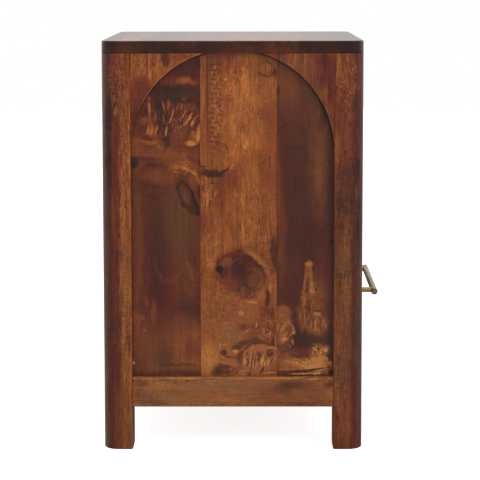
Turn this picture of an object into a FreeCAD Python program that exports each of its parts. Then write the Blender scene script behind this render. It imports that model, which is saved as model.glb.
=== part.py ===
import FreeCAD
import Part
import math
import os

# Solid-wood nightstand on four round-cornered legs, with an arched recess on each side.
# An open niche lies above one deep dovetailed drawer with a bar handle.
# Millimetres. +X runs to the right of someone facing the front, +Y to the back, +Z up.
# The origin is on the floor, under the middle of the whole object, handle included.

# Carcass, overall
width = 450.0
depth = 380.0
height = 600.0
corner_radius = 22.0

# Top slab, made of boards that run from side to side
top_thickness = 18.0
top_easing = 1.2
top_board_count = 4

# Legs, which are the corner posts of the carcass
post_width = 48.0
post_depth = 43.0
post_easing = 2.0
foot_easing = 1.5

# Rails between the legs
leg_clearance = 64.0
rail_height = 44.0
rail_thickness = 30.0
front_rail_thickness = 24.0
rail_easing = 1.0
tenon_length = 20.0
tenon_thickness = 10.0
tenon_shoulder = 7.0
tenon_below_groove = 3.0

# Clearance of every glued joint, on each face
glue_gap = 0.1

# Side panels: three upright boards a side, let into grooves, with an arch in front
panel_recess = 10.0
panel_thickness = 14.0
panel_groove_depth = 8.0
front_board_width = 83.0
back_board_width = 100.0
arch_into_top = 6.0
arch_tip_thickness = 0.6
arch_easing = 0.8

# Back panel of upright boards
back_recess = 6.0
back_thickness = 12.0
back_board_count = 4

# Drawer opening, shelf and what carries them
drawer_opening_height = 220.0
shelf_thickness = 22.0
shelf_easing = 1.0
shelf_board_count = 3
cleat_height = 24.0
runner_height = 24.0
runner_width = 35.0
guide_height = 30.0
stop_length = 20.0
stop_height = 14.0
dust_board_thickness = 9.0
dust_board_rise = 10.0
dust_board_tongue = 6.0

# Drawer
drawer_reveal = 1.5
drawer_running_gap = 0.3
drawer_front_thickness = 20.0
drawer_front_easing = 1.5
drawer_end_room = 32.0
drawer_headroom = 6.7
drawer_side_thickness = 12.0
drawer_bottom_thickness = 6.0
drawer_bottom_rise = 8.0
drawer_bottom_tongue = 6.0
tail_count = 4
tail_width = 24.0
tail_depth_in_front = 14.0
tail_slope_share = 1.0 / 6.0

# Handle: a round bar on two round pillars
handle_length = 242.0
handle_pillar_inset = 17.0
handle_bar_radius = 4.9
handle_bar_easing = 0.6
handle_pillar_radius = 3.9
handle_projection = 23.4
handle_screw_radius = 1.9
handle_screw_bite = 10.0
handle_screw_head_radius = 4.2
handle_screw_head_height = 2.6

# Wood screws
screw_radius = 1.8
screw_head_radius = 3.8
screw_head_height = 2.4
cleat_screw_length = 34.0
runner_screw_length = 50.0
screw_fit = 0.1
screw_end_margin = 40.0

# How far a cutting shape runs past the face that it cuts
overrun = 5.0

# Places that follow from the sizes above
half_width = width / 2
handle_reach = handle_projection + handle_bar_radius
back_y = (depth + handle_reach) / 2
front_y = back_y - depth
middle_y = (front_y + back_y) / 2
case_height = height - top_thickness
rail_top = leg_clearance + rail_height
post_inner_x = half_width - post_width
post_front_inner_y = front_y + post_depth
post_back_inner_y = back_y - post_depth
side_opening = post_back_inner_y - post_front_inner_y
panel_outer_x = half_width - panel_recess
panel_inner_x = panel_outer_x - panel_thickness
panel_bottom = rail_top - panel_groove_depth
rail_inner_x = half_width - rail_thickness
front_rail_inner_y = front_y + front_rail_thickness
back_rail_inner_y = back_y - rail_thickness
back_panel_outer_y = back_y - back_recess
back_panel_inner_y = back_panel_outer_y - back_thickness
drawer_opening_top = rail_top + drawer_opening_height
shelf_top = drawer_opening_top + shelf_thickness

drawer_half_width = post_inner_x - drawer_reveal
drawer_bottom_z = rail_top + drawer_running_gap
drawer_side_top = drawer_opening_top - drawer_headroom
drawer_side_inner_x = drawer_half_width - drawer_side_thickness
drawer_front_inner_y = front_y + drawer_front_thickness
drawer_front_bottom = rail_top + drawer_reveal
drawer_front_top = drawer_opening_top - drawer_reveal
drawer_end_y = back_panel_inner_y - drawer_end_room
drawer_back_inner_y = drawer_end_y - drawer_side_thickness
drawer_panel_z = drawer_bottom_z + drawer_bottom_rise
drawer_panel_top = drawer_panel_z + drawer_bottom_thickness
handle_z = (rail_top + drawer_opening_top) / 2
handle_bar_y = front_y - handle_projection
handle_pillar_x = handle_length / 2 - handle_pillar_inset

V = FreeCAD.Vector


# Shapes that the pieces share


def block(x0, x1, y0, y1, z0, z1):
    """Box between two corners."""
    return Part.makeBox(x1 - x0, y1 - y0, z1 - z0, V(x0, y0, z0))


def rounded_plan(x0, x1, y0, y1, radii, z0, z1):
    """Upright prism with its own radius at each corner, in the order x0y0, x1y0, x1y1, x0y1."""
    corners = [V(x0, y0, z0), V(x1, y0, z0), V(x1, y1, z0), V(x0, y1, z0)]
    along = [V(1, 0, 0), V(0, 1, 0), V(-1, 0, 0), V(0, -1, 0)]
    edges = []
    for i in range(4):
        j = (i + 1) % 4
        start = corners[i] + along[i] * radii[i]
        end = corners[j] - along[i] * radii[j]
        edges.append(Part.LineSegment(start, end).toShape())
        if radii[j] > 0:
            centre = end + along[j] * radii[j]
            outward = (corners[j] - centre).normalize()
            arc = Part.Arc(end, centre + outward * radii[j], corners[j] + along[j] * radii[j])
            edges.append(arc.toShape())
    return Part.Face(Part.Wire(edges)).extrude(V(0, 0, z1 - z0))


def eased(solid, easing, wanted):
    """The solid with a narrow flat cut along every edge whose box `wanted` picks."""
    edges = [edge for edge in solid.Edges if wanted(edge.BoundBox)]
    return solid.makeChamfer(easing, edges)


def mirrored_x(solid):
    """The same piece on the other side of the carcass."""
    return solid.mirror(V(0, 0, 0), V(1, 0, 0))


def rod(start, end, radius):
    """Round rod from one point to another."""
    span = end - start
    return Part.makeCylinder(radius, span.Length, start, span)


def fuse_all(solids):
    """One solid made of several that touch or overlap."""
    joined = solids[0]
    for solid in solids[1:]:
        joined = joined.fuse(solid)
    return joined.removeSplitter()


def split_along_y(solid, y_cuts, low, high):
    """The boards that a flat solid is glued up from: cut at each y between its x and z limits."""
    boards = []
    for y0, y1 in zip(y_cuts, y_cuts[1:]):
        slot = block(low.x, high.x, y0, y1, low.z, high.z)
        boards.append(solid.common(slot))
    return boards


def even_steps(start, end, count):
    """The ends of `count` equal steps from start to end."""
    return [start + (end - start) * i / count for i in range(count + 1)]


# Wood screws


def wood_screw(tip_direction, seat, length):
    """Flat-bottomed round-headed wood screw whose head bears on the surface at `seat`."""
    head = rod(seat, seat - tip_direction * screw_head_height, screw_head_radius)
    shank = rod(seat, seat + tip_direction * length, screw_radius)
    return head.fuse(shank).removeSplitter()


def screw_hole(tip_direction, seat, length):
    """The hole that a wood screw sits in, a little wider and deeper than the screw."""
    start = seat - tip_direction * screw_fit
    return rod(start, seat + tip_direction * (length + screw_fit), screw_radius + screw_fit)


screw_ys = [post_front_inner_y + screw_end_margin, post_back_inner_y - screw_end_margin]
cleat_middle_x = (panel_inner_x + post_inner_x) / 2
top_cleat_z = case_height - cleat_height
shelf_cleat_z = drawer_opening_top - cleat_height
runner_z = rail_top - runner_height
runner_middle_z = rail_top - runner_height / 2
runner_inner_x = rail_inner_x - runner_width


def left_and_right(direction, x, z, length):
    """Four alike screws: two along the left of the carcass and two along the right.

    The direction is that of the left screws' tips. Each screw is a direction, seat and length.
    """
    mirrored = V(-direction.x, direction.y, direction.z)
    screws = []
    for y in screw_ys:
        screws.append((direction, V(-x, y, z), length))
        screws.append((mirrored, V(x, y, z), length))
    return screws


top_screws = left_and_right(V(0, 0, 1), cleat_middle_x, top_cleat_z, cleat_screw_length)
shelf_screws = left_and_right(V(0, 0, 1), cleat_middle_x, shelf_cleat_z, cleat_screw_length)
runner_screws = left_and_right(V(-1, 0, 0), runner_inner_x, runner_middle_z, runner_screw_length)


def with_screw_holes(solid, screws):
    """The solid with the holes of those screws that reach it."""
    for direction, seat, length in screws:
        hole = screw_hole(direction, seat, length)
        if solid.BoundBox.intersect(hole.BoundBox):
            solid = solid.cut(hole)
    return solid


def screw_set(screws):
    """A group of alike wood screws."""
    return Part.makeCompound([wood_screw(*screw) for screw in screws])


# Legs and rails


def rail_tenon_z():
    """Lowest and highest point of a rail's tenons."""
    return leg_clearance + tenon_shoulder, panel_bottom - tenon_below_groove


side_tenon_x = half_width - (rail_thickness - tenon_thickness) / 2
front_tenon_y = front_y + (front_rail_thickness - tenon_thickness) / 2
back_tenon_y = back_y - (rail_thickness + tenon_thickness) / 2


def left_post(at_back):
    """Left corner post: round outer corner, mortises for two rails and grooves for the panels."""
    y0 = post_back_inner_y if at_back else front_y
    y1 = back_y if at_back else post_front_inner_y
    outer = corner_radius
    small = post_easing
    radii = [small, small, small, outer] if at_back else [outer, small, small, small]
    post = rounded_plan(-half_width, -post_inner_x, y0, y1, radii, 0, case_height)
    post = eased(post, foot_easing, lambda box: box.ZMax < foot_easing)

    z0, z1 = rail_tenon_z()
    x0 = -side_tenon_x - glue_gap
    x1 = -side_tenon_x + tenon_thickness + glue_gap
    reach = tenon_length + glue_gap
    face_y = y0 if at_back else y1
    into = 1 if at_back else -1
    ys = sorted([face_y - into * overrun, face_y + into * reach])
    post = post.cut(block(x0, x1, ys[0], ys[1], z0 - glue_gap, z1 + glue_gap))

    tenon_y = back_tenon_y if at_back else front_tenon_y
    post = post.cut(
        block(
            -post_inner_x - reach,
            -post_inner_x + overrun,
            tenon_y - glue_gap,
            tenon_y + tenon_thickness + glue_gap,
            z0 - glue_gap,
            z1 + glue_gap,
        )
    )

    groove = panel_groove_depth + glue_gap
    ys = sorted([face_y - into * overrun, face_y + into * groove])
    groove_z = panel_bottom - glue_gap
    top_z = case_height + overrun
    panel_slot = block(
        -panel_outer_x - glue_gap, -panel_inner_x + glue_gap, ys[0], ys[1], groove_z, top_z
    )
    post = post.cut(panel_slot)
    if at_back:
        back_slot = block(
            -post_inner_x - groove,
            -post_inner_x + overrun,
            back_panel_inner_y - glue_gap,
            back_panel_outer_y + glue_gap,
            groove_z,
            top_z,
        )
        post = post.cut(back_slot)
    return post


def left_rail():
    """Bottom rail of the left side, grooved for the side panel and the dust board."""
    x0 = -half_width
    x1 = -rail_inner_x
    y0 = post_front_inner_y
    y1 = post_back_inner_y
    rail = block(x0, x1, y0, y1, leg_clearance, rail_top)
    rail = eased(rail, rail_easing, lambda box: box.XMax < x0 + rail_easing and box.YLength > rail_easing)
    z0, z1 = rail_tenon_z()
    tenon_x = -side_tenon_x
    tenons = block(tenon_x, tenon_x + tenon_thickness, y0 - tenon_length, y1 + tenon_length, z0, z1)
    rail = fuse_all([rail, tenons])
    panel_slot = block(
        -panel_outer_x - glue_gap,
        -panel_inner_x + glue_gap,
        y0,
        y1,
        panel_bottom - glue_gap,
        rail_top + overrun,
    )
    rail = rail.cut(panel_slot).cut(dust_board(glue_gap))
    return with_screw_holes(rail, runner_screws)


def front_rail():
    """Bottom rail under the drawer, tenoned into the front posts."""
    x = post_inner_x
    rail = block(-x, x, front_y, front_rail_inner_y, leg_clearance, rail_top)
    rail = eased(rail, rail_easing, lambda box: box.YMax < front_y + rail_easing and box.XLength > x)
    z0, z1 = rail_tenon_z()
    ends = x + tenon_length
    tenons = block(-ends, ends, front_tenon_y, front_tenon_y + tenon_thickness, z0, z1)
    return fuse_all([rail, tenons]).cut(dust_board(glue_gap))


def back_rail():
    """Bottom rail under the back panel, tenoned into the back posts."""
    x = post_inner_x
    rail = block(-x, x, back_rail_inner_y, back_y, leg_clearance, rail_top)
    rail = eased(rail, rail_easing, lambda box: box.YMin > back_y - rail_easing and box.XLength > x)
    z0, z1 = rail_tenon_z()
    ends = x + tenon_length
    tenons = block(-ends, ends, back_tenon_y, back_tenon_y + tenon_thickness, z0, z1)
    rail = fuse_all([rail, tenons])
    panel_slot = block(
        -x,
        x,
        back_panel_inner_y - glue_gap,
        back_panel_outer_y + glue_gap,
        panel_bottom - glue_gap,
        rail_top + overrun,
    )
    return rail.cut(panel_slot).cut(dust_board(glue_gap))


def dust_board(gap):
    """Thin board that closes the case below the drawer, tongued into all four rails.

    With a gap it is the shape of the grooves that take its tongues.
    """
    x = rail_inner_x + dust_board_tongue + gap
    y0 = front_rail_inner_y - dust_board_tongue - gap
    y1 = back_rail_inner_y + dust_board_tongue + gap
    z0 = leg_clearance + dust_board_rise - gap
    z1 = leg_clearance + dust_board_rise + dust_board_thickness + gap
    board = block(-x, x, y0, y1, z0, z1)
    notch_x = post_inner_x - glue_gap + gap
    for side in (-1, 1):
        xs = sorted([side * notch_x, side * half_width])
        front_notch = post_front_inner_y + glue_gap - gap
        back_notch = post_back_inner_y - glue_gap + gap
        board = board.cut(block(xs[0], xs[1], front_y, front_notch, z0, z1))
        board = board.cut(block(xs[0], xs[1], back_notch, back_y, z0, z1))
    return board


# Side and back panels


def left_side_boards():
    """The three upright boards of the left side, from front to back."""
    y0 = post_front_inner_y - panel_groove_depth
    y1 = post_back_inner_y + panel_groove_depth
    low = V(-panel_outer_x, y0, panel_bottom)
    high = V(-panel_inner_x, y1, case_height)
    panel = block(low.x, high.x, y0, y1, low.z, high.z)
    first_cut = post_front_inner_y + front_board_width
    second_cut = post_back_inner_y - back_board_width
    return split_along_y(panel, [y0, first_cut, second_cut, y1], low, high)


def left_spandrel(at_back):
    """Corner piece glued on the side panel. Two of them, with the posts, frame the arch.

    It ends in a thin tip, where the arc has come that close to the post.
    """
    radius = side_opening / 2
    spring_z = case_height + arch_into_top - radius
    tip_rise = math.sqrt(radius**2 - (radius - arch_tip_thickness) ** 2)
    post_y = post_back_inner_y if at_back else post_front_inner_y
    ys = sorted([post_y, middle_y])
    plate = block(-half_width, -panel_outer_x, ys[0], ys[1], spring_z + tip_rise, case_height)
    axis_start = V(-half_width - overrun, middle_y, spring_z)
    arch = rod(axis_start, V(-panel_outer_x + overrun, middle_y, spring_z), radius)
    spandrel = plate.cut(arch)
    outer_arcs = [
        edge
        for edge in spandrel.Edges
        if isinstance(edge.Curve, Part.Circle) and edge.BoundBox.XMax < arch_easing - half_width
    ]
    return spandrel.makeChamfer(min(arch_easing, arch_tip_thickness / 2), outer_arcs)


def back_boards():
    """The upright boards of the back, from left to right."""
    x = post_inner_x + panel_groove_depth
    cuts = even_steps(-x, x, back_board_count)
    boards = []
    for x0, x1 in zip(cuts, cuts[1:]):
        boards.append(block(x0, x1, back_panel_inner_y, back_panel_outer_y, panel_bottom, case_height))
    return boards


# Top, shelf and the strips that carry them


def top_boards():
    """The boards of the top, from front to back, under one round-cornered outline."""
    radii = [corner_radius] * 4
    slab = rounded_plan(-half_width, half_width, front_y, back_y, radii, case_height, height)
    slab = eased(slab, top_easing, lambda box: box.ZLength < top_easing)
    slab = with_screw_holes(slab, top_screws)
    cuts = even_steps(front_y, back_y, top_board_count)
    low = V(-half_width, front_y, case_height)
    high = V(half_width, back_y, height)
    return split_along_y(slab, cuts, low, high)


def shelf_boards():
    """The boards of the niche floor, from front to back, notched around the four posts."""
    z0 = drawer_opening_top
    z1 = shelf_top
    outer_x = panel_inner_x - glue_gap
    y1 = back_panel_inner_y - glue_gap
    shelf = block(-outer_x, outer_x, front_y, y1, z0, z1)
    notch_x = post_inner_x - glue_gap
    for side in (-1, 1):
        xs = sorted([side * notch_x, side * half_width])
        shelf = shelf.cut(block(xs[0], xs[1], front_y, post_front_inner_y + glue_gap, z0, z1))
        shelf = shelf.cut(block(xs[0], xs[1], post_back_inner_y - glue_gap, back_y, z0, z1))
    is_front_edge = lambda box: box.YMax < front_y + shelf_easing and box.XLength > outer_x
    shelf = eased(shelf, shelf_easing, is_front_edge)
    shelf = with_screw_holes(shelf, shelf_screws)
    cuts = even_steps(front_y, y1, shelf_board_count)
    return split_along_y(shelf, cuts, V(-outer_x, front_y, z0), V(outer_x, y1, z1))


def left_strip(z0, z1):
    """Strip along the inner face of the left panel, as thick as the posts stand proud of it."""
    return block(-panel_inner_x, -post_inner_x, post_front_inner_y, post_back_inner_y, z0, z1)


def left_shelf_cleat():
    """Strip glued to the side panel. The shelf lies on it, and its screws come up through it."""
    return with_screw_holes(left_strip(shelf_cleat_z, drawer_opening_top), shelf_screws)


def left_top_cleat():
    """Strip under the top. The top's screws come up through it."""
    return with_screw_holes(left_strip(top_cleat_z, case_height), top_screws)


def left_drawer_guide():
    """Strip that keeps the drawer straight."""
    return left_strip(rail_top, rail_top + guide_height)


def left_runner():
    """Runner that the drawer side slides on, notched around the posts and screwed to the rail."""
    y0 = front_rail_inner_y
    y1 = back_rail_inner_y
    runner = block(-rail_inner_x, -runner_inner_x, y0, y1, runner_z, rail_top)
    edge_x = -post_inner_x + glue_gap
    front_notch = post_front_inner_y + glue_gap
    back_notch = post_back_inner_y - glue_gap
    runner = runner.cut(block(-half_width, edge_x, front_y, front_notch, runner_z, rail_top))
    runner = runner.cut(block(-half_width, edge_x, back_notch, back_y, runner_z, rail_top))
    return with_screw_holes(runner, runner_screws)


def left_drawer_stop():
    """Block on the runner that stops the drawer with its front flush."""
    y0 = drawer_end_y + drawer_running_gap
    x0 = -drawer_half_width
    x1 = -drawer_side_inner_x
    return block(x0, x1, y0, y0 + stop_length, rail_top, rail_top + stop_height)


# Drawer


def tails(y_shoulder, y_end, z0, z1):
    """Dovetails on the end of the left drawer side, spread evenly between two heights."""
    length = abs(y_end - y_shoulder)
    base = tail_width / 2
    flare = base + length * tail_slope_share
    pitch = (z1 - z0) / tail_count
    solids = []
    for i in range(tail_count):
        z = z0 + pitch * (i + 0.5)
        points = [
            V(-drawer_half_width, y_shoulder, z - base),
            V(-drawer_half_width, y_end, z - flare),
            V(-drawer_half_width, y_end, z + flare),
            V(-drawer_half_width, y_shoulder, z + base),
        ]
        outline = Part.makePolygon(points + points[:1])
        solids.append(Part.Face(outline).extrude(V(drawer_side_thickness, 0, 0)))
    return solids


def front_tails():
    """Tails that go into blind sockets in the drawer front."""
    tail_end = drawer_front_inner_y - tail_depth_in_front
    return tails(drawer_front_inner_y, tail_end, drawer_panel_top, drawer_side_top)


def back_tails():
    """Tails that go right through the drawer back."""
    return tails(drawer_back_inner_y, drawer_end_y, drawer_panel_top, drawer_side_top)


def drawer_panel_slot():
    """Groove in the sides and the front for the drawer's bottom panel."""
    x = drawer_side_inner_x + drawer_bottom_tongue + glue_gap
    y0 = drawer_front_inner_y
    z0 = drawer_panel_z - glue_gap
    z1 = drawer_panel_top + glue_gap
    along_sides = block(-x, x, y0, drawer_end_y + overrun, z0, z1)
    x = drawer_side_inner_x
    in_front = block(-x, x, y0 - drawer_bottom_tongue - glue_gap, y0, z0, z1)
    return along_sides.fuse(in_front)


def left_drawer_side():
    """Side of the drawer, with tails at both ends and a groove for the bottom."""
    x0 = -drawer_half_width
    x1 = -drawer_side_inner_x
    y0 = drawer_front_inner_y
    board = block(x0, x1, y0, drawer_back_inner_y, drawer_bottom_z, drawer_side_top)
    below_back = block(x0, x1, drawer_back_inner_y, drawer_end_y, drawer_bottom_z, drawer_panel_top)
    side = fuse_all([board, below_back] + front_tails() + back_tails())
    return side.cut(drawer_panel_slot())


def both_sides(solids):
    """Those solids and their mirror images."""
    return solids + [mirrored_x(solid) for solid in solids]


def drawer_front():
    """Drawer front with blind dovetail sockets, a groove and two handle screw holes."""
    x = drawer_half_width
    front = block(-x, x, front_y, drawer_front_inner_y, drawer_front_bottom, drawer_front_top)
    front = eased(front, drawer_front_easing, lambda box: box.YMax < front_y + drawer_front_easing)
    for tail in both_sides(front_tails()):
        front = front.cut(tail)
    front = front.cut(drawer_panel_slot())
    for side in (-1, 1):
        inside = V(side * handle_pillar_x, drawer_front_inner_y + overrun, handle_z)
        outside = V(side * handle_pillar_x, front_y - overrun, handle_z)
        front = front.cut(rod(inside, outside, handle_screw_radius + screw_fit))
    return front


def drawer_back():
    """Back of the drawer, standing on the bottom panel between the tails of the sides."""
    x = drawer_half_width
    z0 = drawer_panel_top + glue_gap
    back = block(-x, x, drawer_back_inner_y, drawer_end_y, z0, drawer_side_top)
    for tail in both_sides(back_tails()):
        back = back.cut(tail)
    return back


def drawer_bottom():
    """Thin bottom panel, slid in from the back under the drawer back."""
    x = drawer_side_inner_x + drawer_bottom_tongue
    front_x = drawer_side_inner_x - glue_gap
    y0 = drawer_front_inner_y
    wide = block(-x, x, y0 + glue_gap, drawer_end_y, drawer_panel_z, drawer_panel_top)
    tongue = block(
        -front_x, front_x, y0 - drawer_bottom_tongue, y0 + glue_gap, drawer_panel_z, drawer_panel_top
    )
    return fuse_all([wide, tongue])


# Handle


def bar_rod():
    """The bar's round rod at its full length."""
    end_x = handle_length / 2
    return rod(V(-end_x, handle_bar_y, handle_z), V(end_x, handle_bar_y, handle_z), handle_bar_radius)


def handle_bar():
    """Round bar with bevelled ends."""
    return eased(bar_rod(), handle_bar_easing, lambda box: box.XLength < handle_bar_easing)


def handle_pillar(side):
    """Round pillar from the drawer front to the bar, coped to the bar and tapped for its screw."""
    x = side * handle_pillar_x
    pillar = rod(V(x, front_y, handle_z), V(x, handle_bar_y, handle_z), handle_pillar_radius)
    bore_end = V(x, front_y - handle_screw_bite - screw_fit, handle_z)
    bore = rod(V(x, front_y + overrun, handle_z), bore_end, handle_screw_radius + screw_fit)
    return pillar.cut(bar_rod()).cut(bore)


def handle_screw(side):
    """Screw from inside the drawer into the pillar, with a bevelled round head."""
    x = side * handle_pillar_x
    seat = V(x, drawer_front_inner_y, handle_z)
    rim_y = drawer_front_inner_y + handle_screw_head_height
    head = rod(seat, V(x, rim_y, handle_z), handle_screw_head_radius)
    head = eased(head, handle_screw_head_height / 2, lambda box: box.YMin > rim_y - screw_fit)
    shank = rod(seat, V(x, front_y - handle_screw_bite, handle_z), handle_screw_radius)
    return head.fuse(shank).removeSplitter()


# The whole object, by node


def both_hands(name, solid):
    """A left piece and its right mirror image, under their node names."""
    return {"left_" + name: solid, "right_" + name: mirrored_x(solid)}


def build():
    """Every node's shape, by name."""
    nodes = {}
    for i, board in enumerate(top_boards()):
        nodes["top_board_%d" % (i + 1)] = board
    for i, board in enumerate(shelf_boards()):
        nodes["shelf_board_%d" % (i + 1)] = board
    for i, board in enumerate(back_boards()):
        nodes["back_board_%d" % (i + 1)] = board
    for place, at_back in (("front", False), ("back", True)):
        nodes.update(both_hands(place + "_leg", left_post(at_back)))
        nodes.update(both_hands(place + "_arch_corner", left_spandrel(at_back)))
    for place, board in zip(("front", "middle", "back"), left_side_boards()):
        nodes.update(both_hands("side_board_" + place, board))
    nodes.update(both_hands("bottom_rail", left_rail()))
    nodes["front_bottom_rail"] = front_rail()
    nodes["back_bottom_rail"] = back_rail()
    nodes["dust_board"] = dust_board(0)
    nodes.update(both_hands("shelf_cleat", left_shelf_cleat()))
    nodes.update(both_hands("top_cleat", left_top_cleat()))
    nodes.update(both_hands("drawer_runner", left_runner()))
    nodes.update(both_hands("drawer_guide", left_drawer_guide()))
    nodes.update(both_hands("drawer_stop", left_drawer_stop()))
    nodes["top_screws"] = screw_set(top_screws)
    nodes["shelf_screws"] = screw_set(shelf_screws)
    nodes["runner_screws"] = screw_set(runner_screws)
    nodes["drawer_front"] = drawer_front()
    nodes.update(both_hands("drawer_side", left_drawer_side()))
    nodes["drawer_back"] = drawer_back()
    nodes["drawer_bottom"] = drawer_bottom()
    nodes["handle_bar"] = handle_bar()
    nodes["left_handle_pillar"] = handle_pillar(-1)
    nodes["right_handle_pillar"] = handle_pillar(1)
    nodes["handle_screws"] = Part.makeCompound([handle_screw(-1), handle_screw(1)])
    return nodes


def main():
    os.makedirs("parts", exist_ok=True)
    nodes = build()
    for name, shape in nodes.items():
        assert shape.isValid(), name
        shape.exportStep("parts/%s.step" % name)
    print("%d nodes, %d solids" % (len(nodes), sum(len(shape.Solids) for shape in nodes.values())))
    for name, shape in nodes.items():
        print("%-26s %d solids, %.0f mm3" % (name, len(shape.Solids), shape.Volume))


main()
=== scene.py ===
"""Looks of a chestnut-stained wooden nightstand with arched sides, a niche and a drawer.

Everything is in metres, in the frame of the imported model: +X to the right of someone who faces
the front, +Y to the back, +Z up, with the origin on the floor under the middle. Marks in the
wood's figure are given in millimetres of the same frame.
"""

import logging
import math
import random
from dataclasses import dataclass, field
from enum import Enum

import bmesh
import bpy
from mathutils import Matrix, Vector


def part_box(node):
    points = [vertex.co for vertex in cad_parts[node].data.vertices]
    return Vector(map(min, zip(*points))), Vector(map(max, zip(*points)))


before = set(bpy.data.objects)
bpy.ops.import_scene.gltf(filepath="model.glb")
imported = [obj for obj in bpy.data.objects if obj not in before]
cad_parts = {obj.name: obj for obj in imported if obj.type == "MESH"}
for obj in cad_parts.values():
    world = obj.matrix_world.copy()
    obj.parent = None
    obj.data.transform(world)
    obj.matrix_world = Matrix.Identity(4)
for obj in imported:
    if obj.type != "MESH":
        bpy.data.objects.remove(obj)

log = logging.getLogger("nightstand")

Colour = tuple[float, float, float, float]
Cast = tuple[float, float, float]
Point = tuple[float, float, float]
Spot = tuple[float, float]
Node = bpy.types.Node
Tree = bpy.types.NodeTree
Socket = bpy.types.NodeSocket
Sockets = bpy.types.bpy_prop_collection
Feeds = dict[str | int, object]
MM = 0.001


def srgb(red: int, green: int, blue: int) -> Colour:
    """Turns a colour as seen on a screen into the linear colour that shaders use.

    Args:
        red: red from 0 to 255.
        green: green from 0 to 255.
        blue: blue from 0 to 255.

    Returns:
        The linear colour with full alpha.
    """
    def linear(level: int) -> float:
        """One channel, by the sRGB curve."""
        share = level / 255
        return share / 12.92 if share <= 0.04045 else ((share + 0.055) / 1.055) ** 2.4

    return (linear(red), linear(green), linear(blue), 1.0)


class Stain(Enum):
    """The tones that the stain gives this wood, and the bare wood inside. Some of them also paint shade,
    shadows and highlights.
    """

    SOOT_AND_SHADE = srgb(26, 15, 12)
    UMBER = srgb(55, 28, 20)
    WINE = srgb(78, 25, 18)
    OLIVE = srgb(90, 52, 27)
    RUSSET = srgb(108, 43, 24)
    CHESTNUT = srgb(112, 56, 27)
    COPPER = srgb(132, 67, 30)
    TAN = srgb(138, 84, 46)
    HONEY = srgb(150, 82, 33)
    GOLD = srgb(178, 102, 44)
    STRAW = srgb(212, 138, 66)
    ROSE = srgb(162, 90, 50)
    SAND = srgb(194, 120, 62)
    BARE_DARK = srgb(128, 82, 48)
    BARE = srgb(160, 110, 68)
    BARE_LIGHT = srgb(184, 138, 92)


# The stains by their short names, in the order above
(
    SOOT_AND_SHADE, UMBER, WINE, OLIVE, RUSSET, CHESTNUT, COPPER, TAN, HONEY, GOLD, STRAW, ROSE, SAND,
    BARE_DARK, BARE, BARE_LIGHT,
) = Stain

Ground = tuple[Stain, Stain]
WHITE: Colour = (1.0, 1.0, 1.0, 1.0)

# The cast of a wash that leaves the colour as it is
CLEAR: Cast = (1.0, 1.0, 1.0)

# How squarely a face looks along a piece where it starts to count as its end, and where it is all end
END_START = 0.6
END_FULL = 0.85


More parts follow.
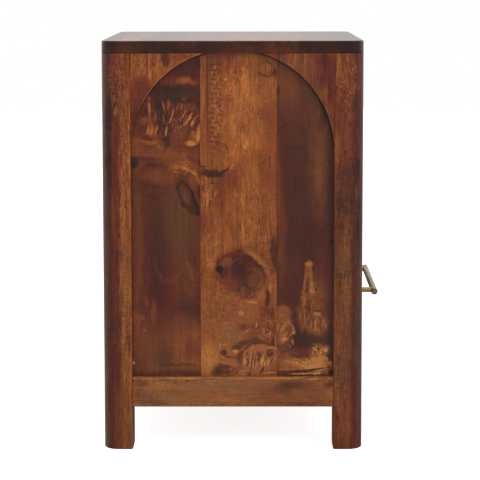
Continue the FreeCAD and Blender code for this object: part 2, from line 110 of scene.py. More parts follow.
class Wiring:
    """Adds nodes to one shader tree and links them. An input is fed a value or another socket."""

    # Where a Mix node has its two colours and its mixed colour
    LOW_COLOUR, HIGH_COLOUR, MIXED_COLOUR = 6, 7, 2

    def __init__(self, tree: Tree) -> None:
        """Takes the tree that the nodes go into."""
        self.tree = tree

    def feed(self, socket: Socket, value: object) -> None:
        """Links a socket to another socket, or sets its value.

        Args:
            socket: the input.
            value: the other socket, or the value.
        """
        if isinstance(value, bpy.types.NodeSocket):
            self.tree.links.new(value, socket)
        else:
            socket.default_value = value

    def node(self, kind: str, feeds: Feeds | None = None, **settings: object) -> Node:
        """Adds a node.

        Args:
            kind: the node's type name.
            feeds: what goes into its inputs, by their name or number.
            settings: properties to set on it.

        Returns:
            The new node.
        """
        made = self.tree.nodes.new(kind)
        for name, value in settings.items():
            setattr(made, name, value)
        for name, value in (feeds or {}).items():
            self.feed(made.inputs[name], value)
        return made

    def group(self, tree: Tree, **values: object) -> Node:
        """Places a node group. The values go into its inputs, with underscores for the spaces in a name."""
        feeds = {name.replace("_", " "): value for name, value in values.items()}
        return self.node("ShaderNodeGroup", feeds, node_tree=tree)

    def math(self, operation: str, first: object, second: object = 0.0, third: object = 0.0) -> Socket:
        """Returns the result of a Math node."""
        return self.node("ShaderNodeMath", {0: first, 1: second, 2: third}, operation=operation).outputs[0]

    def vector(self, operation: str, *values: object) -> Socket:
        """Returns the vector of a Vector Math node."""
        feeds = dict(enumerate(values))
        return self.node("ShaderNodeVectorMath", feeds, operation=operation).outputs["Vector"]

    def scaled(self, vector: object, factor: object) -> Socket:
        """Returns a vector multiplied by a number."""
        feeds = {"Vector": vector, "Scale": factor}
        return self.node("ShaderNodeVectorMath", feeds, operation="SCALE").outputs["Vector"]

    def length(self, vector: object) -> Socket:
        """Returns the length of a vector."""
        return self.node("ShaderNodeVectorMath", {0: vector}, operation="LENGTH").outputs["Value"]

    def dot(self, first: object, second: object) -> Socket:
        """Returns the dot product of two vectors."""
        feeds = {0: first, 1: second}
        return self.node("ShaderNodeVectorMath", feeds, operation="DOT_PRODUCT").outputs["Value"]

    def parts(self, vector: object) -> tuple[Socket, ...]:
        """Returns the three parts of a vector."""
        return tuple(self.node("ShaderNodeSeparateXYZ", {0: vector}).outputs)

    def joined(self, x: object, y: object, z: object) -> Socket:
        """Returns a vector made of three parts."""
        return self.node("ShaderNodeCombineXYZ", {0: x, 1: y, 2: z}).outputs[0]

    def mapped(self, place: object, centre: object, turn: object, radii: object) -> Socket:
        """Returns the place as seen from an oval: moved to its centre, turned, in units of its radii."""
        feeds = {"Vector": place, "Location": centre, "Rotation": turn, "Scale": radii}
        return self.node("ShaderNodeMapping", feeds, vector_type="TEXTURE").outputs["Vector"]

    def blend(self, factor: object, low: object, high: object) -> Socket:
        """Returns the number between low and high that the factor picks."""
        feeds = {"Factor": factor, "A": low, "B": high}
        return self.node("ShaderNodeMix", feeds, data_type="FLOAT").outputs["Result"]

    def tint(self, factor: object, low: object, high: object, way: str = "MIX") -> Socket:
        """Blends two colours.

        Args:
            factor: how much of the high colour there is, from 0 to 1.
            low: the low colour.
            high: the high colour.
            way: how they are blended.

        Returns:
            The blended colour.
        """
        feeds = {0: factor, self.LOW_COLOUR: low, self.HIGH_COLOUR: high}
        made = self.node("ShaderNodeMix", feeds, data_type="RGBA", blend_type=way)
        return made.outputs[self.MIXED_COLOUR]

    def ease(self, value: object, start: object, end: object) -> Socket:
        """Returns 0 where the value is at start and 1 where it is at end, smoothly between."""
        feeds = {"Value": value, "From Min": start, "From Max": end}
        made = self.node("ShaderNodeMapRange", feeds, interpolation_type="SMOOTHSTEP", clamp=False)
        return made.outputs["Result"]

    def noise_node(self, at: object, detail: float, rough: float, swirl: float) -> Node:
        """Adds a Noise Texture node whose lumps are about one unit apart at a scaled place."""
        feeds = {"Vector": at, "Scale": 1.0, "Detail": detail, "Roughness": rough, "Distortion": swirl}
        return self.node("ShaderNodeTexNoise", feeds)

    def noise(self, at: object, detail: float = 2.0, rough: float = 0.5, swirl: float = 0.0) -> Socket:
        """Returns noise from 0 to 1."""
        return self.noise_node(at, detail, rough, swirl).outputs["Fac"]

    def drift(self, at: object, detail: float) -> Socket:
        """Returns a smooth random vector, each part within about a half of zero."""
        made = self.noise_node(at, detail, 0.5, 0.0)
        return self.vector("SUBTRACT", made.outputs["Color"], (0.5, 0.5, 0.5))

    def ramp(self, factor: object, stops: tuple[tuple[float, Colour], ...]) -> Socket:
        """Adds a Color Ramp.

        Args:
            factor: what picks the colour.
            stops: its places from 0 to 1, each with its colour.

        Returns:
            The picked colour.
        """
        made = self.node("ShaderNodeValToRGB")
        points = made.color_ramp.elements
        while len(points) < len(stops):
            points.new(0.5)
        for point, (place, colour) in zip(points, stops):
            point.position = place
            point.color = colour
        self.feed(made.inputs["Fac"], factor)
        return made.outputs["Color"]

    def bump(self, height: object, distance: float) -> Socket:
        """Returns the normal of a Bump node."""
        return self.node("ShaderNodeBump", {"Height": height, "Distance": distance}).outputs["Normal"]


class Dressing(Wiring):
    """The node tree of one new material, with its shader and the piece's own coordinates."""

    def __init__(self, name: str) -> None:
        """Makes the material.

        Args:
            name: its name.
        """
        self.material = bpy.data.materials.new(name)
        self.material.use_nodes = True
        super().__init__(self.material.node_tree)
        self.shader = self.tree.nodes["Principled BSDF"].inputs
        self.where = self.node("ShaderNodeTexCoord").outputs

    def set(self, **values: object) -> None:
        """Feeds the shader's inputs, with underscores for the spaces in a name."""
        for name, value in values.items():
            self.feed(self.shader[name.replace("_", " ")], value)

    def end(self, axis: int) -> Socket:
        """Returns 1 on the faces that look along an axis and 0 on the others."""
        facing = self.parts(self.where["Normal"])
        return self.ease(self.math("ABSOLUTE", facing[axis]), END_START, END_FULL)

    def onto(self, node: str) -> None:
        """Puts the material into every material slot of a CAD node."""
        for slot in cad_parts[node].material_slots:
            slot.material = self.material
        log.info("dressed %s", node)


class GroupMaker(Wiring):
    """One new shader node group, with its inputs and outputs."""

    def __init__(self, name: str, inputs: dict[str, str], outputs: dict[str, str]) -> None:
        """Makes the group.

        Args:
            name: the group's name.
            inputs: each input's name and kind, such as Float or Vector.
            outputs: each output's name and kind.
        """
        super().__init__(bpy.data.node_groups.new(name, "ShaderNodeTree"))
        for side, sockets in (("INPUT", inputs), ("OUTPUT", outputs)):
            for label, kind in sockets.items():
                self.tree.interface.new_socket(label, in_out=side, socket_type="NodeSocket" + kind)
        self.inputs = self.node("NodeGroupInput").outputs
        self.outputs = self.node("NodeGroupOutput").inputs

    def put(self, name: str, value: object) -> None:
        """Feeds one output of the group."""
        self.feed(self.outputs[name], value)

    def lumps(self, place: object, cells: Point, *look: float) -> Socket:
        """Returns noise of so many cells per metre each way. What follows is the look of the noise."""
        return self.noise(self.vector("MULTIPLY", place, cells), *look)

    def oval(self) -> Socket:
        """Turns the group's place about its oval's centre, and measures it in the oval's radii.

        Returns:
            The place as seen from the oval.
        """
        given = self.inputs
        feeds = {"Vector": given["Place"], "Center": given["Centre"], "Angle": given["Turn"]}
        turned = self.node("ShaderNodeVectorRotate", feeds, rotation_type="Y_AXIS").outputs["Vector"]
        return self.vector("MULTIPLY_ADD", turned, given["Scale"], given["Shift"])

    def cells(self) -> Socket:
        """Returns the group's place in units of its strokes."""
        return self.mapped(*(self.inputs["Cell " + name] for name in ("Place", "Shift", "Turn", "Size")))

    def inside(self, reach: object) -> Socket:
        """Returns how far a place lies inside the group's oval.

        Args:
            reach: how far the place is from the oval's middle, in units of its radii.

        Returns:
            1 inside and 0 outside, with the group's own softness.
        """
        outer = self.math("ADD", 1.0, self.inputs["Soft"])
        inner = self.math("SUBTRACT", 1.0, self.inputs["Soft"])
        return self.ease(reach, outer, inner)


class Effects:
    """The shader node groups that the finishes share. Each is built once."""

    OVAL = {
        "Place": "Vector", "Centre": "Vector", "Turn": "Float", "Scale": "Vector", "Shift": "Vector",
        "Soft": "Float",
    }
    CELLS = {
        "Cell Place": "Vector", "Cell Turn": "Vector", "Cell Size": "Vector", "Cell Shift": "Vector",
        "Cover": "Float",
    }
    BOARD = {"Place": "Vector", "Seed": "Vector", "Pith": "Vector", "Ring Width": "Float", "Wander": "Float"}
    LAYERS = ("Rings", "Bands", "Streaks", "Fibres", "Pores", "Mottle", "Zones", "Speckle", "Blush")
    BOX = {"Place": "Vector", "Low": "Vector", "High": "Vector", "Width": "Float"}

    # The grain's layers that vary about zero: cells per metre across, through and along, and their look
    WOVEN = (
        ("Bands", (62.0, 62.0, 2.2), 2.0, 0.55, 0.3),
        ("Streaks", (290.0, 290.0, 22.0), 3.0, 0.62, 0.5),
        ("Fibres", (800.0, 800.0, 48.0), 2.0, 0.6, 0.3),
    )

    def __init__(self) -> None:
        """Builds every group."""
        self.grain = self._grain()
        self.blot = self._blot()
        self.arc = self._arc()
        self.strokes = self._strokes()
        self.curls = self._curls()
        self.edges = self._edges()

    def _grain(self) -> Tree:
        """Builds the grain of a board that runs along Z: bands, streaks, fibres, pores and mottle.

        Returns:
            The group.
        """
        made = GroupMaker("wood grain", self.BOARD, dict.fromkeys(self.LAYERS, "Float"))
        shifted = made.vector("ADD", made.inputs["Place"], made.inputs["Seed"])
        slow = made.drift(made.vector("MULTIPLY", shifted, (9.0, 9.0, 3.0)), 1.0)
        fast = made.drift(made.vector("MULTIPLY", shifted, (55.0, 55.0, 18.0)), 1.0)
        sway = made.vector("ADD", made.scaled(slow, made.inputs["Wander"]), made.scaled(fast, 0.003))
        wandering = made.vector("ADD", made.inputs["Place"], sway)
        from_pith = made.vector("SUBTRACT", wandering, made.inputs["Pith"])
        off_pith = made.length(made.vector("MULTIPLY", from_pith, (1.0, 1.0, 0.03)))
        turns = made.math("DIVIDE", off_pith, made.inputs["Ring Width"])
        made.put("Rings", made.math("SINE", made.math("MULTIPLY", turns, 2 * math.pi)))
        seeded = made.vector("ADD", wandering, made.inputs["Seed"])
        for name, cells, detail, rough, swirl in self.WOVEN:
            lumps = made.lumps(seeded, cells, detail, rough, swirl)
            made.put(name, made.math("SUBTRACT", lumps, 0.5))
        pores = made.lumps(seeded, (760.0, 760.0, 55.0), 1.0, 0.4)
        made.put("Pores", made.ease(pores, 0.6, 0.72))
        ladder = made.lumps(seeded, (90.0, 90.0, 260.0), 2.0, 0.6)
        where = made.lumps(shifted, (22.0, 22.0, 7.0), 1.0)
        rungs = made.math("SUBTRACT", ladder, 0.5)
        made.put("Mottle", made.math("MULTIPLY", rungs, made.ease(where, 0.42, 0.62)))
        made.put("Zones", made.lumps(shifted, (17.0, 17.0, 5.0), 2.0, 0.55))
        speckle = made.lumps(seeded, (430.0, 430.0, 300.0), 3.0, 0.65, 0.6)
        made.put("Speckle", made.math("SUBTRACT", speckle, 0.5))
        made.put("Blush", made.lumps(shifted, (260.0, 260.0, 130.0), 3.0, 0.6))
        return made.tree

    def _blot(self) -> Tree:
        """Builds a soft oval.

        Returns:
            The group.
        """
        made = GroupMaker("blot", self.OVAL, {"Mask": "Float"})
        made.put("Mask", made.inside(made.length(made.oval())))
        return made.tree

    def _arc(self) -> Tree:
        """Builds a stretch of an oval's outline, on both sides of the way that it points.

        Returns:
            The group.
        """
        made = GroupMaker("arc", self.OVAL | {"Width": "Float", "Limit": "Float"}, {"Mask": "Float"})
        where = made.oval()
        reach = made.length(where)
        off_line = made.math("ABSOLUTE", made.math("SUBTRACT", reach, 1.0))
        line = made.ease(off_line, made.inputs["Width"], 0.0)
        ahead = made.math("DIVIDE", made.dot(where, (0.0, 0.0, 1.0)), reach)
        limit = made.inputs["Limit"]
        start = made.math("SUBTRACT", limit, made.inputs["Soft"])
        window = made.ease(ahead, start, made.math("ADD", limit, 0.02))
        made.put("Mask", made.math("MULTIPLY", line, window))
        return made.tree

    def _strokes(self) -> Tree:
        """Builds an oval full of short strokes that lie the same way.

        Returns:
            The group.
        """
        made = GroupMaker("strokes", self.OVAL | self.CELLS, {"Mask": "Float"})
        oval = made.inside(made.length(made.oval()))
        lumps = made.noise(made.cells(), 1.5, 0.55)
        bar = made.math("ADD", made.inputs["Cover"], 0.09)
        made.put("Mask", made.math("MULTIPLY", oval, made.ease(lumps, made.inputs["Cover"], bar)))
        return made.tree

    def _curls(self) -> Tree:
        """Builds an oval full of curled lines, as in a burl.

        Returns:
            The group.
        """
        made = GroupMaker("curls", self.OVAL | self.CELLS, {"Mask": "Float"})
        oval = made.inside(made.length(made.oval()))
        lumps = made.noise(made.cells(), 1.0, 0.5, 1.0)
        wave = made.math("PINGPONG", made.math("MULTIPLY", lumps, 3.6), 0.5)
        lines = made.ease(wave, made.inputs["Cover"], made.math("ADD", made.inputs["Cover"], 0.16))
        made.put("Mask", made.math("MULTIPLY", oval, lines))
        return made.tree

    def _edges(self) -> Tree:
        """Builds a mask of the edges of a box-like piece: 1 on the edge and 0 a width away from it.

        Returns:
            The group.
        """
        made = GroupMaker("worn edges", self.BOX, {"Edge": "Float"})
        from_low = made.vector("SUBTRACT", made.inputs["Place"], made.inputs["Low"])
        from_high = made.vector("SUBTRACT", made.inputs["High"], made.inputs["Place"])
        x, y, z = made.parts(made.vector("MINIMUM", from_low, from_high))
        least = made.math("MINIMUM", made.math("MINIMUM", x, y), z)
        most = made.math("MAXIMUM", made.math("MAXIMUM", x, y), z)
        total = made.math("ADD", made.math("ADD", x, y), z)
        middle = made.math("SUBTRACT", made.math("SUBTRACT", total, least), most)
        made.put("Edge", made.ease(middle, made.inputs["Width"], 0.0))
        return made.tree


class Run(Enum):
    """How a board lies: the axes of its width, thickness and grain, and the two axes of its face."""

    SIDE_UPRIGHT = ((1, 0, 2), (1, 2))
    FRONT_UPRIGHT = ((0, 1, 2), (0, 2))
    SIDE_LEVEL = ((2, 0, 1), (1, 2))
    FRONT_LEVEL = ((2, 1, 0), (0, 2))
    FLAT_SIDEWAYS = ((1, 2, 0), (0, 1))
    FLAT_DEEP = ((0, 2, 1), (0, 1))


@dataclass
class Brush:
    """What a mark needs to paint itself on a board, and the paint so far."""

    wires: Wiring
    effects: Effects
    spots: tuple[Socket, ...]
    face: Socket
    drift: Socket
    stray: Socket
    streaks: Socket
    colour: object
    strength: object
    places: dict[float, Socket] = field(default_factory=dict)
    cells: Socket | None = None

    def place(self, ragged: float) -> Socket:
        """Finds the place on the face, shifted about by some of the drift. Each share is made once.

        Args:
            ragged: the share of the drift.

        Returns:
            The place.
        """
        if ragged not in self.places:
            shares = (ragged, ragged, ragged)
            self.places[ragged] = self.wires.vector("MULTIPLY_ADD", self.drift, shares, self.face)
        return self.places[ragged]

    def cell_place(self) -> Socket:
        """Returns the place that strokes and curls are laid out from, made once."""
        if self.cells is None:
            self.cells = self.wires.mapped(self.place(0.3), (0.0, 0.0, 0.0), (0.0, 0.0, 0.0), CLEAR)
        return self.cells

    def quieten(self, mask: Socket, calm: float) -> None:
        """Takes some of the grain away where a mask is."""
        if calm:
            self.strength = self.wires.blend(self.wires.math("MULTIPLY", mask, calm), self.strength, 0.0)


@dataclass(frozen=True, kw_only=True)
class Mark:
    """One touch of colour in a board's figure: mostly stain, in places painted shade, shadow or highlight.
    All lengths are in millimetres of the object's frame.
    """

    stain: Stain
    amount: float = 0.7
    calm: float = 0.0

    def mask(self, brush: Brush) -> Socket:
        """Returns where the mark is, from 0 to 1."""
        raise NotImplementedError

    def paint(self, brush: Brush) -> None:
        """Lays the mark over the paint so far.

        Args:
            brush: the board's brush.
        """
        wires = brush.wires
        mask = self.mask(brush)
        brush.colour = wires.tint(wires.math("MULTIPLY", mask, self.amount), brush.colour, self.stain.value)
        brush.quieten(mask, self.calm)


Figure = tuple[Mark, ...]


@dataclass(frozen=True, kw_only=True)
class Oval(Mark):
    """A mark in an oval: its middle and radii on the board's face, and how far its top leans."""

    at: Spot
    size: Spot
    lean: float = 0.0
    soft: float = 0.5
    ragged: float = 0.5

    def oval(self, brush: Brush) -> dict[str, object]:
        """Works out what every oval group is fed.

        Args:
            brush: the board's brush.

        Returns:
            The value of each input.
        """
        return {
            "Place": brush.place(self.ragged),
            "Centre": (self.at[0] * MM, 0.0, self.at[1] * MM),
            "Turn": -math.radians(self.lean),
            "Scale": (1 / (self.size[0] * MM), 0.0, 1 / (self.size[1] * MM)),
            "Shift": (-self.at[0] / self.size[0], 0.0, -self.at[1] / self.size[1]),
            "Soft": self.soft,
        }


class Blot(Oval):
    """A soft oval."""

    def mask(self, brush: Brush) -> Socket:
        """Returns the oval."""
        return brush.wires.group(brush.effects.blot, **self.oval(brush)).outputs["Mask"]


@dataclass(frozen=True, kw_only=True)
class Wash(Blot):
    """A soft oval that shifts the tone by a factor for red, green and blue: mostly a thin clear glaze, and
    along the rail's top a painted highlight.
    """

    stain: Stain = TAN
    cast: Cast = CLEAR
    amount: float = 1.0
    soft: float = 0.9
    ragged: float = 0.3

    def paint(self, brush: Brush) -> None:
        """Multiplies the paint so far.

        Args:
            brush: the board's brush.
        """
        wires = brush.wires
        mask = wires.math("MULTIPLY", self.mask(brush), self.amount)
        if self.cast != CLEAR:
            brush.colour = wires.tint(mask, brush.colour, (*self.cast, 1.0), "MULTIPLY")
        brush.quieten(mask, self.calm)


@dataclass(frozen=True, kw_only=True)
class Arc(Oval):
    """A stretch of an oval's outline, as thick as its width, to both sides of its leaning top."""

    width: float = 2.0
    spread: float = 60.0

    def mask(self, brush: Brush) -> Socket:
        """Finds the outline's stretch.

        Args:
            brush: the board's brush.

        Returns:
            1 on the line and 0 off it.
        """
        limit = math.cos(math.radians(self.spread))
        width = self.width / min(self.size)
        values = self.oval(brush)
        return brush.wires.group(brush.effects.arc, Width=width, Limit=limit, **values).outputs["Mask"]


@dataclass(frozen=True, kw_only=True)
class Strokes(Oval):
    """Short strokes within an oval: how far they lean, their length, breadth, and share of the oval."""

    stroke_lean: float = 0.0
    long: float = 12.0
    broad: float = 2.4
    cover: float = 0.4

    def cells(self, brush: Brush) -> dict[str, object]:
        """Works out how the strokes are laid out.

        Args:
            brush: the board's brush.

        Returns:
            The value of each input for the oval and its cells.
        """
        return self.oval(brush) | {
            "Cell_Place": brush.cell_place(),
            "Cell_Turn": (0.0, math.radians(self.stroke_lean), 0.0),
            "Cell_Size": (self.broad * MM, MM, self.long * MM),
            "Cell_Shift": (0.0, (self.at[0] + 3 * self.at[1]) * MM, 0.0),
        }

    def mask(self, brush: Brush) -> Socket:
        """Returns the strokes."""
        cover = 0.5 + (0.42 - self.cover) * 0.35
        return brush.wires.group(brush.effects.strokes, Cover=cover, **self.cells(brush)).outputs["Mask"]


class Curls(Strokes):
    """Curled lines within an oval, as in a burl."""

    def mask(self, brush: Brush) -> Socket:
        """Returns the curls."""
        cover = 0.46 - self.cover * 0.5
        return brush.wires.group(brush.effects.curls, Cover=cover, **self.cells(brush)).outputs["Mask"]


@dataclass(frozen=True, kw_only=True)
class Band(Mark):
    """A straight band along a board: its middle, half width, soft edge, and the axis it is measured on."""

    at: float
    half: float
    axis: int = 1
    soft: float = 4.0
    ragged: float = 0.3
    broken: float = 0.0

    def mask(self, brush: Brush) -> Socket:
        """Finds the band, broken up by the streaks of the grain.

        Args:
            brush: the board's brush.

        Returns:
            1 on the band and 0 off it.
        """
        wires = brush.wires
        spot = wires.math("MULTIPLY_ADD", brush.stray, self.ragged, brush.spots[self.axis])
        off = wires.math("ABSOLUTE", wires.math("SUBTRACT", spot, self.at * MM))
        mask = wires.ease(off, (self.half + self.soft) * MM, self.half * MM)
        if self.broken:
            gaps = wires.ease(brush.streaks, -0.06, 0.08)
            kept = wires.math("MULTIPLY_ADD", gaps, self.broken, 1.0 - self.broken)
            mask = wires.math("MULTIPLY", mask, kept)
        return mask


def dash(start: Spot, end: Spot, width: float, stain: Stain, amount: float = 0.9) -> Blot:
    """Makes a short straight touch of stain between two places on a board's face.

    Args:
        start: its lower end.
        end: its upper end.
        width: its full width in the middle.
        stain: its colour.
        amount: how much it covers.

    Returns:
        The mark.
    """
    across, along = end[0] - start[0], end[1] - start[1]
    return Blot(
        at=((start[0] + end[0]) / 2, (start[1] + end[1]) / 2),
        size=(width / 2, math.hypot(across, along) / 2),
        lean=math.degrees(math.atan2(across, along)),
        stain=stain,
        amount=amount,
        soft=0.32,
        ragged=0.15,
    )


def blot(at: Spot, size: Spot, stain: Stain, amount: float, **more: float) -> Blot:
    """Makes a soft oval of stain, in places of painted shadow, from its middle, half sizes, colour and
    cover.
    """
    return Blot(at=at, size=size, stain=stain, amount=amount, **more)


def wash(at: Spot, size: Spot, cast: Cast, **more: float) -> Wash:
    """Makes a Wash from its middle, half sizes and factors for red, green and blue."""
    return Wash(at=at, size=size, cast=cast, **more)


def arc(at: Spot, size: Spot, lean: float, width: float, spread: float, stain: Stain, amount: float,
        **more: float) -> Arc:
    """Makes a stretch of an oval's outline.

    Args:
        at: the oval's middle on the board's face.
        size: the oval's half width and half height.
        lean: which way the stretch lies from the middle, in degrees from the top.
        width: how thick it is to each side of the outline.
        spread: how many degrees it reaches to both sides of that way.
        stain: its colour.
        amount: how much it covers.
        more: soft and ragged, where they aren't the usual ones.

    Returns:
        The mark.
    """
    return Arc(at=at, size=size, lean=lean, width=width, spread=spread, stain=stain, amount=amount, **more)


def strokes(at: Spot, size: Spot, lean: float, long: float, broad: float, cover: float, stain: Stain,
            amount: float) -> Strokes:
    """Makes an oval full of short strokes.

    Args:
        at: its middle on the board's face.
        size: its half width and half height.
        lean: how far the strokes lean, in degrees.
        long: how long a stroke is.
        broad: how broad it is.
        cover: how much of the oval they fill.
        stain: their colour.
        amount: how much they cover.

    Returns:
        The mark.
    """
    return Strokes(at=at, size=size, stroke_lean=lean, long=long, broad=broad, cover=cover, stain=stain,
                   amount=amount)


def curls(at: Spot, size: Spot, long: float, broad: float, cover: float, stain: Stain, amount: float,
          lean: float = 0.0) -> Curls:
    """Makes an oval full of curled lines. Its values are those of strokes."""
    return Curls(at=at, size=size, stroke_lean=lean, long=long, broad=broad, cover=cover, stain=stain,
                 amount=amount)


def band(at: float, half: float, soft: float, stain: Stain, amount: float, **more: float) -> Band:
    """Makes a straight band along a board from its middle, half width, fading, colour and cover."""
    return Band(at=at, half=half, soft=soft, stain=stain, amount=amount, **more)


@dataclass(frozen=True)
class Board:
    """One wooden piece: its node, how it lies, the two tones of its ground, and its figure."""

    node: str
    run: Run
    seed: int
    ground: Ground = (RUSSET, COPPER)
    grain: float = 1.0
    ring_width: float = 9.0
    wander: float = 16.0
    figure: Figure = ()

    def seed_vector(self) -> Point:
        """Returns how far this board's noise is shifted from every other board's."""
        draw = random.Random(self.seed)
        return (draw.uniform(1, 40), draw.uniform(1, 40), draw.uniform(1, 40))

    def pith_vector(self) -> Point:
        """Draws where the middle of the tree was, beside the board and behind it.

        Returns:
            The place, across, through and along the board.
        """
        draw = random.Random(self.seed + 1000)
        low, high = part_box(self.node)
        across, thick, along = self.run.value[0]
        middle = (low + high) / 2
        side = draw.choice((-1, 1))
        return (
            middle[across] + side * draw.uniform(0.01, 0.08),
            middle[thick] + draw.uniform(0.03, 0.07),
            middle[along],
        )


@dataclass(frozen=True)
class WoodFinish:
    """A lacquered wood finish: how strongly each layer of the grain shows, and how it shines."""

    rings: float = 0.04
    bands: float = 0.7
    streaks: float = 1.0
    fibres: float = 0.7
    pores: float = 0.35
    mottle: float = 0.7
    speckle: float = 0.55
    blush: float = 0.55
    end_stain: Stain = UMBER
    end_amount: float = 0.6
    end_patches: float = 0.0
    edge_stain: Stain = UMBER
    edge_amount: float = 0.45
    edge_width: float = 2.2
    roughness: float = 0.34
    shine: float = 0.2
    coat: float = 0.12
    end_coat: float = 0.1
    coat_roughness: float = 0.14
    relief: float = 0.00005

    DARKER: Colour = (0.17, 0.15, 0.20, 1.0)
    EVEN: Colour = (0.5, 0.5, 0.5, 1.0)
    LIGHTER: Colour = (0.98, 1.0, 0.86, 1.0)
    REDDER: Colour = (1.12, 0.90, 1.0, 1.0)
    YELLOWER: Colour = (0.92, 1.06, 0.96, 1.0)

    # The waves in the outlines of marks: their cells per metre, their detail, and their reach in metres
    DRIFTS: tuple[Point, ...] = ((28.0, 1.0, 0.020), (150.0, 3.0, 0.016))

    def dress(self, effects: Effects, board: Board) -> None:
        """Gives one board its own material.

        Args:
            effects: the shared node groups.
            board: how the board lies and what figure it has.
        """
        wires = Dressing("wood " + board.node)
        order, face_axes = board.run.value
        spots = wires.parts(wires.where["Object"])
        place = wires.joined(*(spots[axis] for axis in order))
        face = wires.joined(spots[face_axes[0]], 0.0, spots[face_axes[1]])
        grain = wires.group(
            effects.grain,
            Place=place,
            Seed=board.seed_vector(),
            Pith=board.pith_vector(),
            Ring_Width=board.ring_width * MM,
            Wander=board.wander * MM,
        ).outputs
        drift = self.drift(wires, wires.vector("ADD", place, board.seed_vector()))
        zones = wires.ease(grain["Zones"], 0.3, 0.7)
        ground = wires.tint(zones, board.ground[0].value, board.ground[1].value)
        stray = wires.dot(drift, (1.0, 0.0, 0.0))
        brush = Brush(wires, effects, spots, face, drift, stray, grain["Streaks"], ground, board.grain)
        for mark in board.figure:
            mark.paint(brush)
        end = wires.end(order[2])
        low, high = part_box(board.node)
        width = self.edge_width * MM
        worn = wires.group(effects.edges, Place=wires.where["Object"], Low=low, High=high, Width=width)
        depth = wires.math("MULTIPLY_ADD", zones, -self.end_patches, self.end_amount)
        colour = wires.tint(wires.math("MULTIPLY", end, depth), brush.colour, self.end_stain.value)
        rubbed = wires.math("MULTIPLY", worn.outputs["Edge"], self.edge_amount)
        colour = wires.tint(rubbed, colour, self.edge_stain.value)
        lift = self.lift(wires, grain, brush.strength)
        colour = self.grained(wires, grain, lift, colour)
        dull = wires.math("MULTIPLY_ADD", grain["Fibres"], 0.25, self.roughness)
        wires.set(
            Base_Color=colour,
            Roughness=wires.math("MULTIPLY_ADD", end, 0.1, dull),
            Normal=wires.bump(wires.math("MULTIPLY_ADD", grain["Fibres"], 0.8, lift), self.relief),
            Specular_IOR_Level=self.shine,
            Coat_Weight=wires.blend(end, self.coat, self.end_coat),
            Coat_Roughness=self.coat_roughness,
        )
        wires.onto(board.node)

    def drift(self, wires: Dressing, near: Socket) -> Socket:
        """Makes what pushes the outlines of marks about: wide slow waves with finer ones on them.

        Args:
            wires: the material.
            near: the place on the board, shifted by its seed.

        Returns:
            The drift, in metres.
        """
        slow, fast = (
            wires.scaled(wires.drift(wires.scaled(near, cells), detail), reach)
            for cells, detail, reach in self.DRIFTS
        )
        return wires.vector("ADD", slow, fast)

    def lift(self, wires: Dressing, grain: Sockets, strength: object) -> Socket:
        """Adds up the layers of the grain.

        Args:
            wires: the material.
            grain: the layers.
            strength: how strongly the grain shows.

        Returns:
            How much lighter or darker the grain makes the board.
        """
        lift = wires.math("MULTIPLY", grain["Rings"], self.rings)
        layers = {
            "Bands": self.bands, "Streaks": self.streaks, "Fibres": self.fibres, "Mottle": self.mottle,
            "Pores": -self.pores,
        }
        for name, amount in layers.items():
            lift = wires.math("MULTIPLY_ADD", grain[name], amount, lift)
        return wires.math("MULTIPLY", lift, strength)

    def grained(self, wires: Dressing, grain: Sockets, lift: Socket, colour: object) -> Socket:
        """Lays the grain over the colour.

        Args:
            wires: the material.
            grain: the layers of the grain.
            lift: how much lighter or darker they make the board.
            colour: the colour so far.

        Returns:
            The colour with its grain.
        """
        tone = wires.math("MULTIPLY_ADD", grain["Speckle"], self.speckle, wires.math("ADD", lift, 0.5))
        shade = wires.ramp(tone, ((0.0, self.DARKER), (0.5, self.EVEN), (1.0, self.LIGHTER)))
        cast = wires.tint(wires.ease(grain["Blush"], 0.36, 0.64), self.YELLOWER, self.REDDER)
        cast = wires.tint(self.blush, WHITE, cast)
        colour = wires.vector("MULTIPLY", colour, cast)
        return wires.vector("MULTIPLY", colour, wires.scaled(shade, 2.0))


ARCH_MIDDLE: Spot = (14.15, 441.0)
ARCH_RADIUS = 147.0
# The radii of the painted shadow under the arch's edge, and of the painted highlight along the corner
# pieces' edge
SHADOW_RADII: Spot = (ARCH_RADIUS - 0.5, ARCH_RADIUS - 0.5)
ARCH_HIGHLIGHT_RADII: Spot = (ARCH_RADIUS + 1.0, ARCH_RADIUS + 1.0)


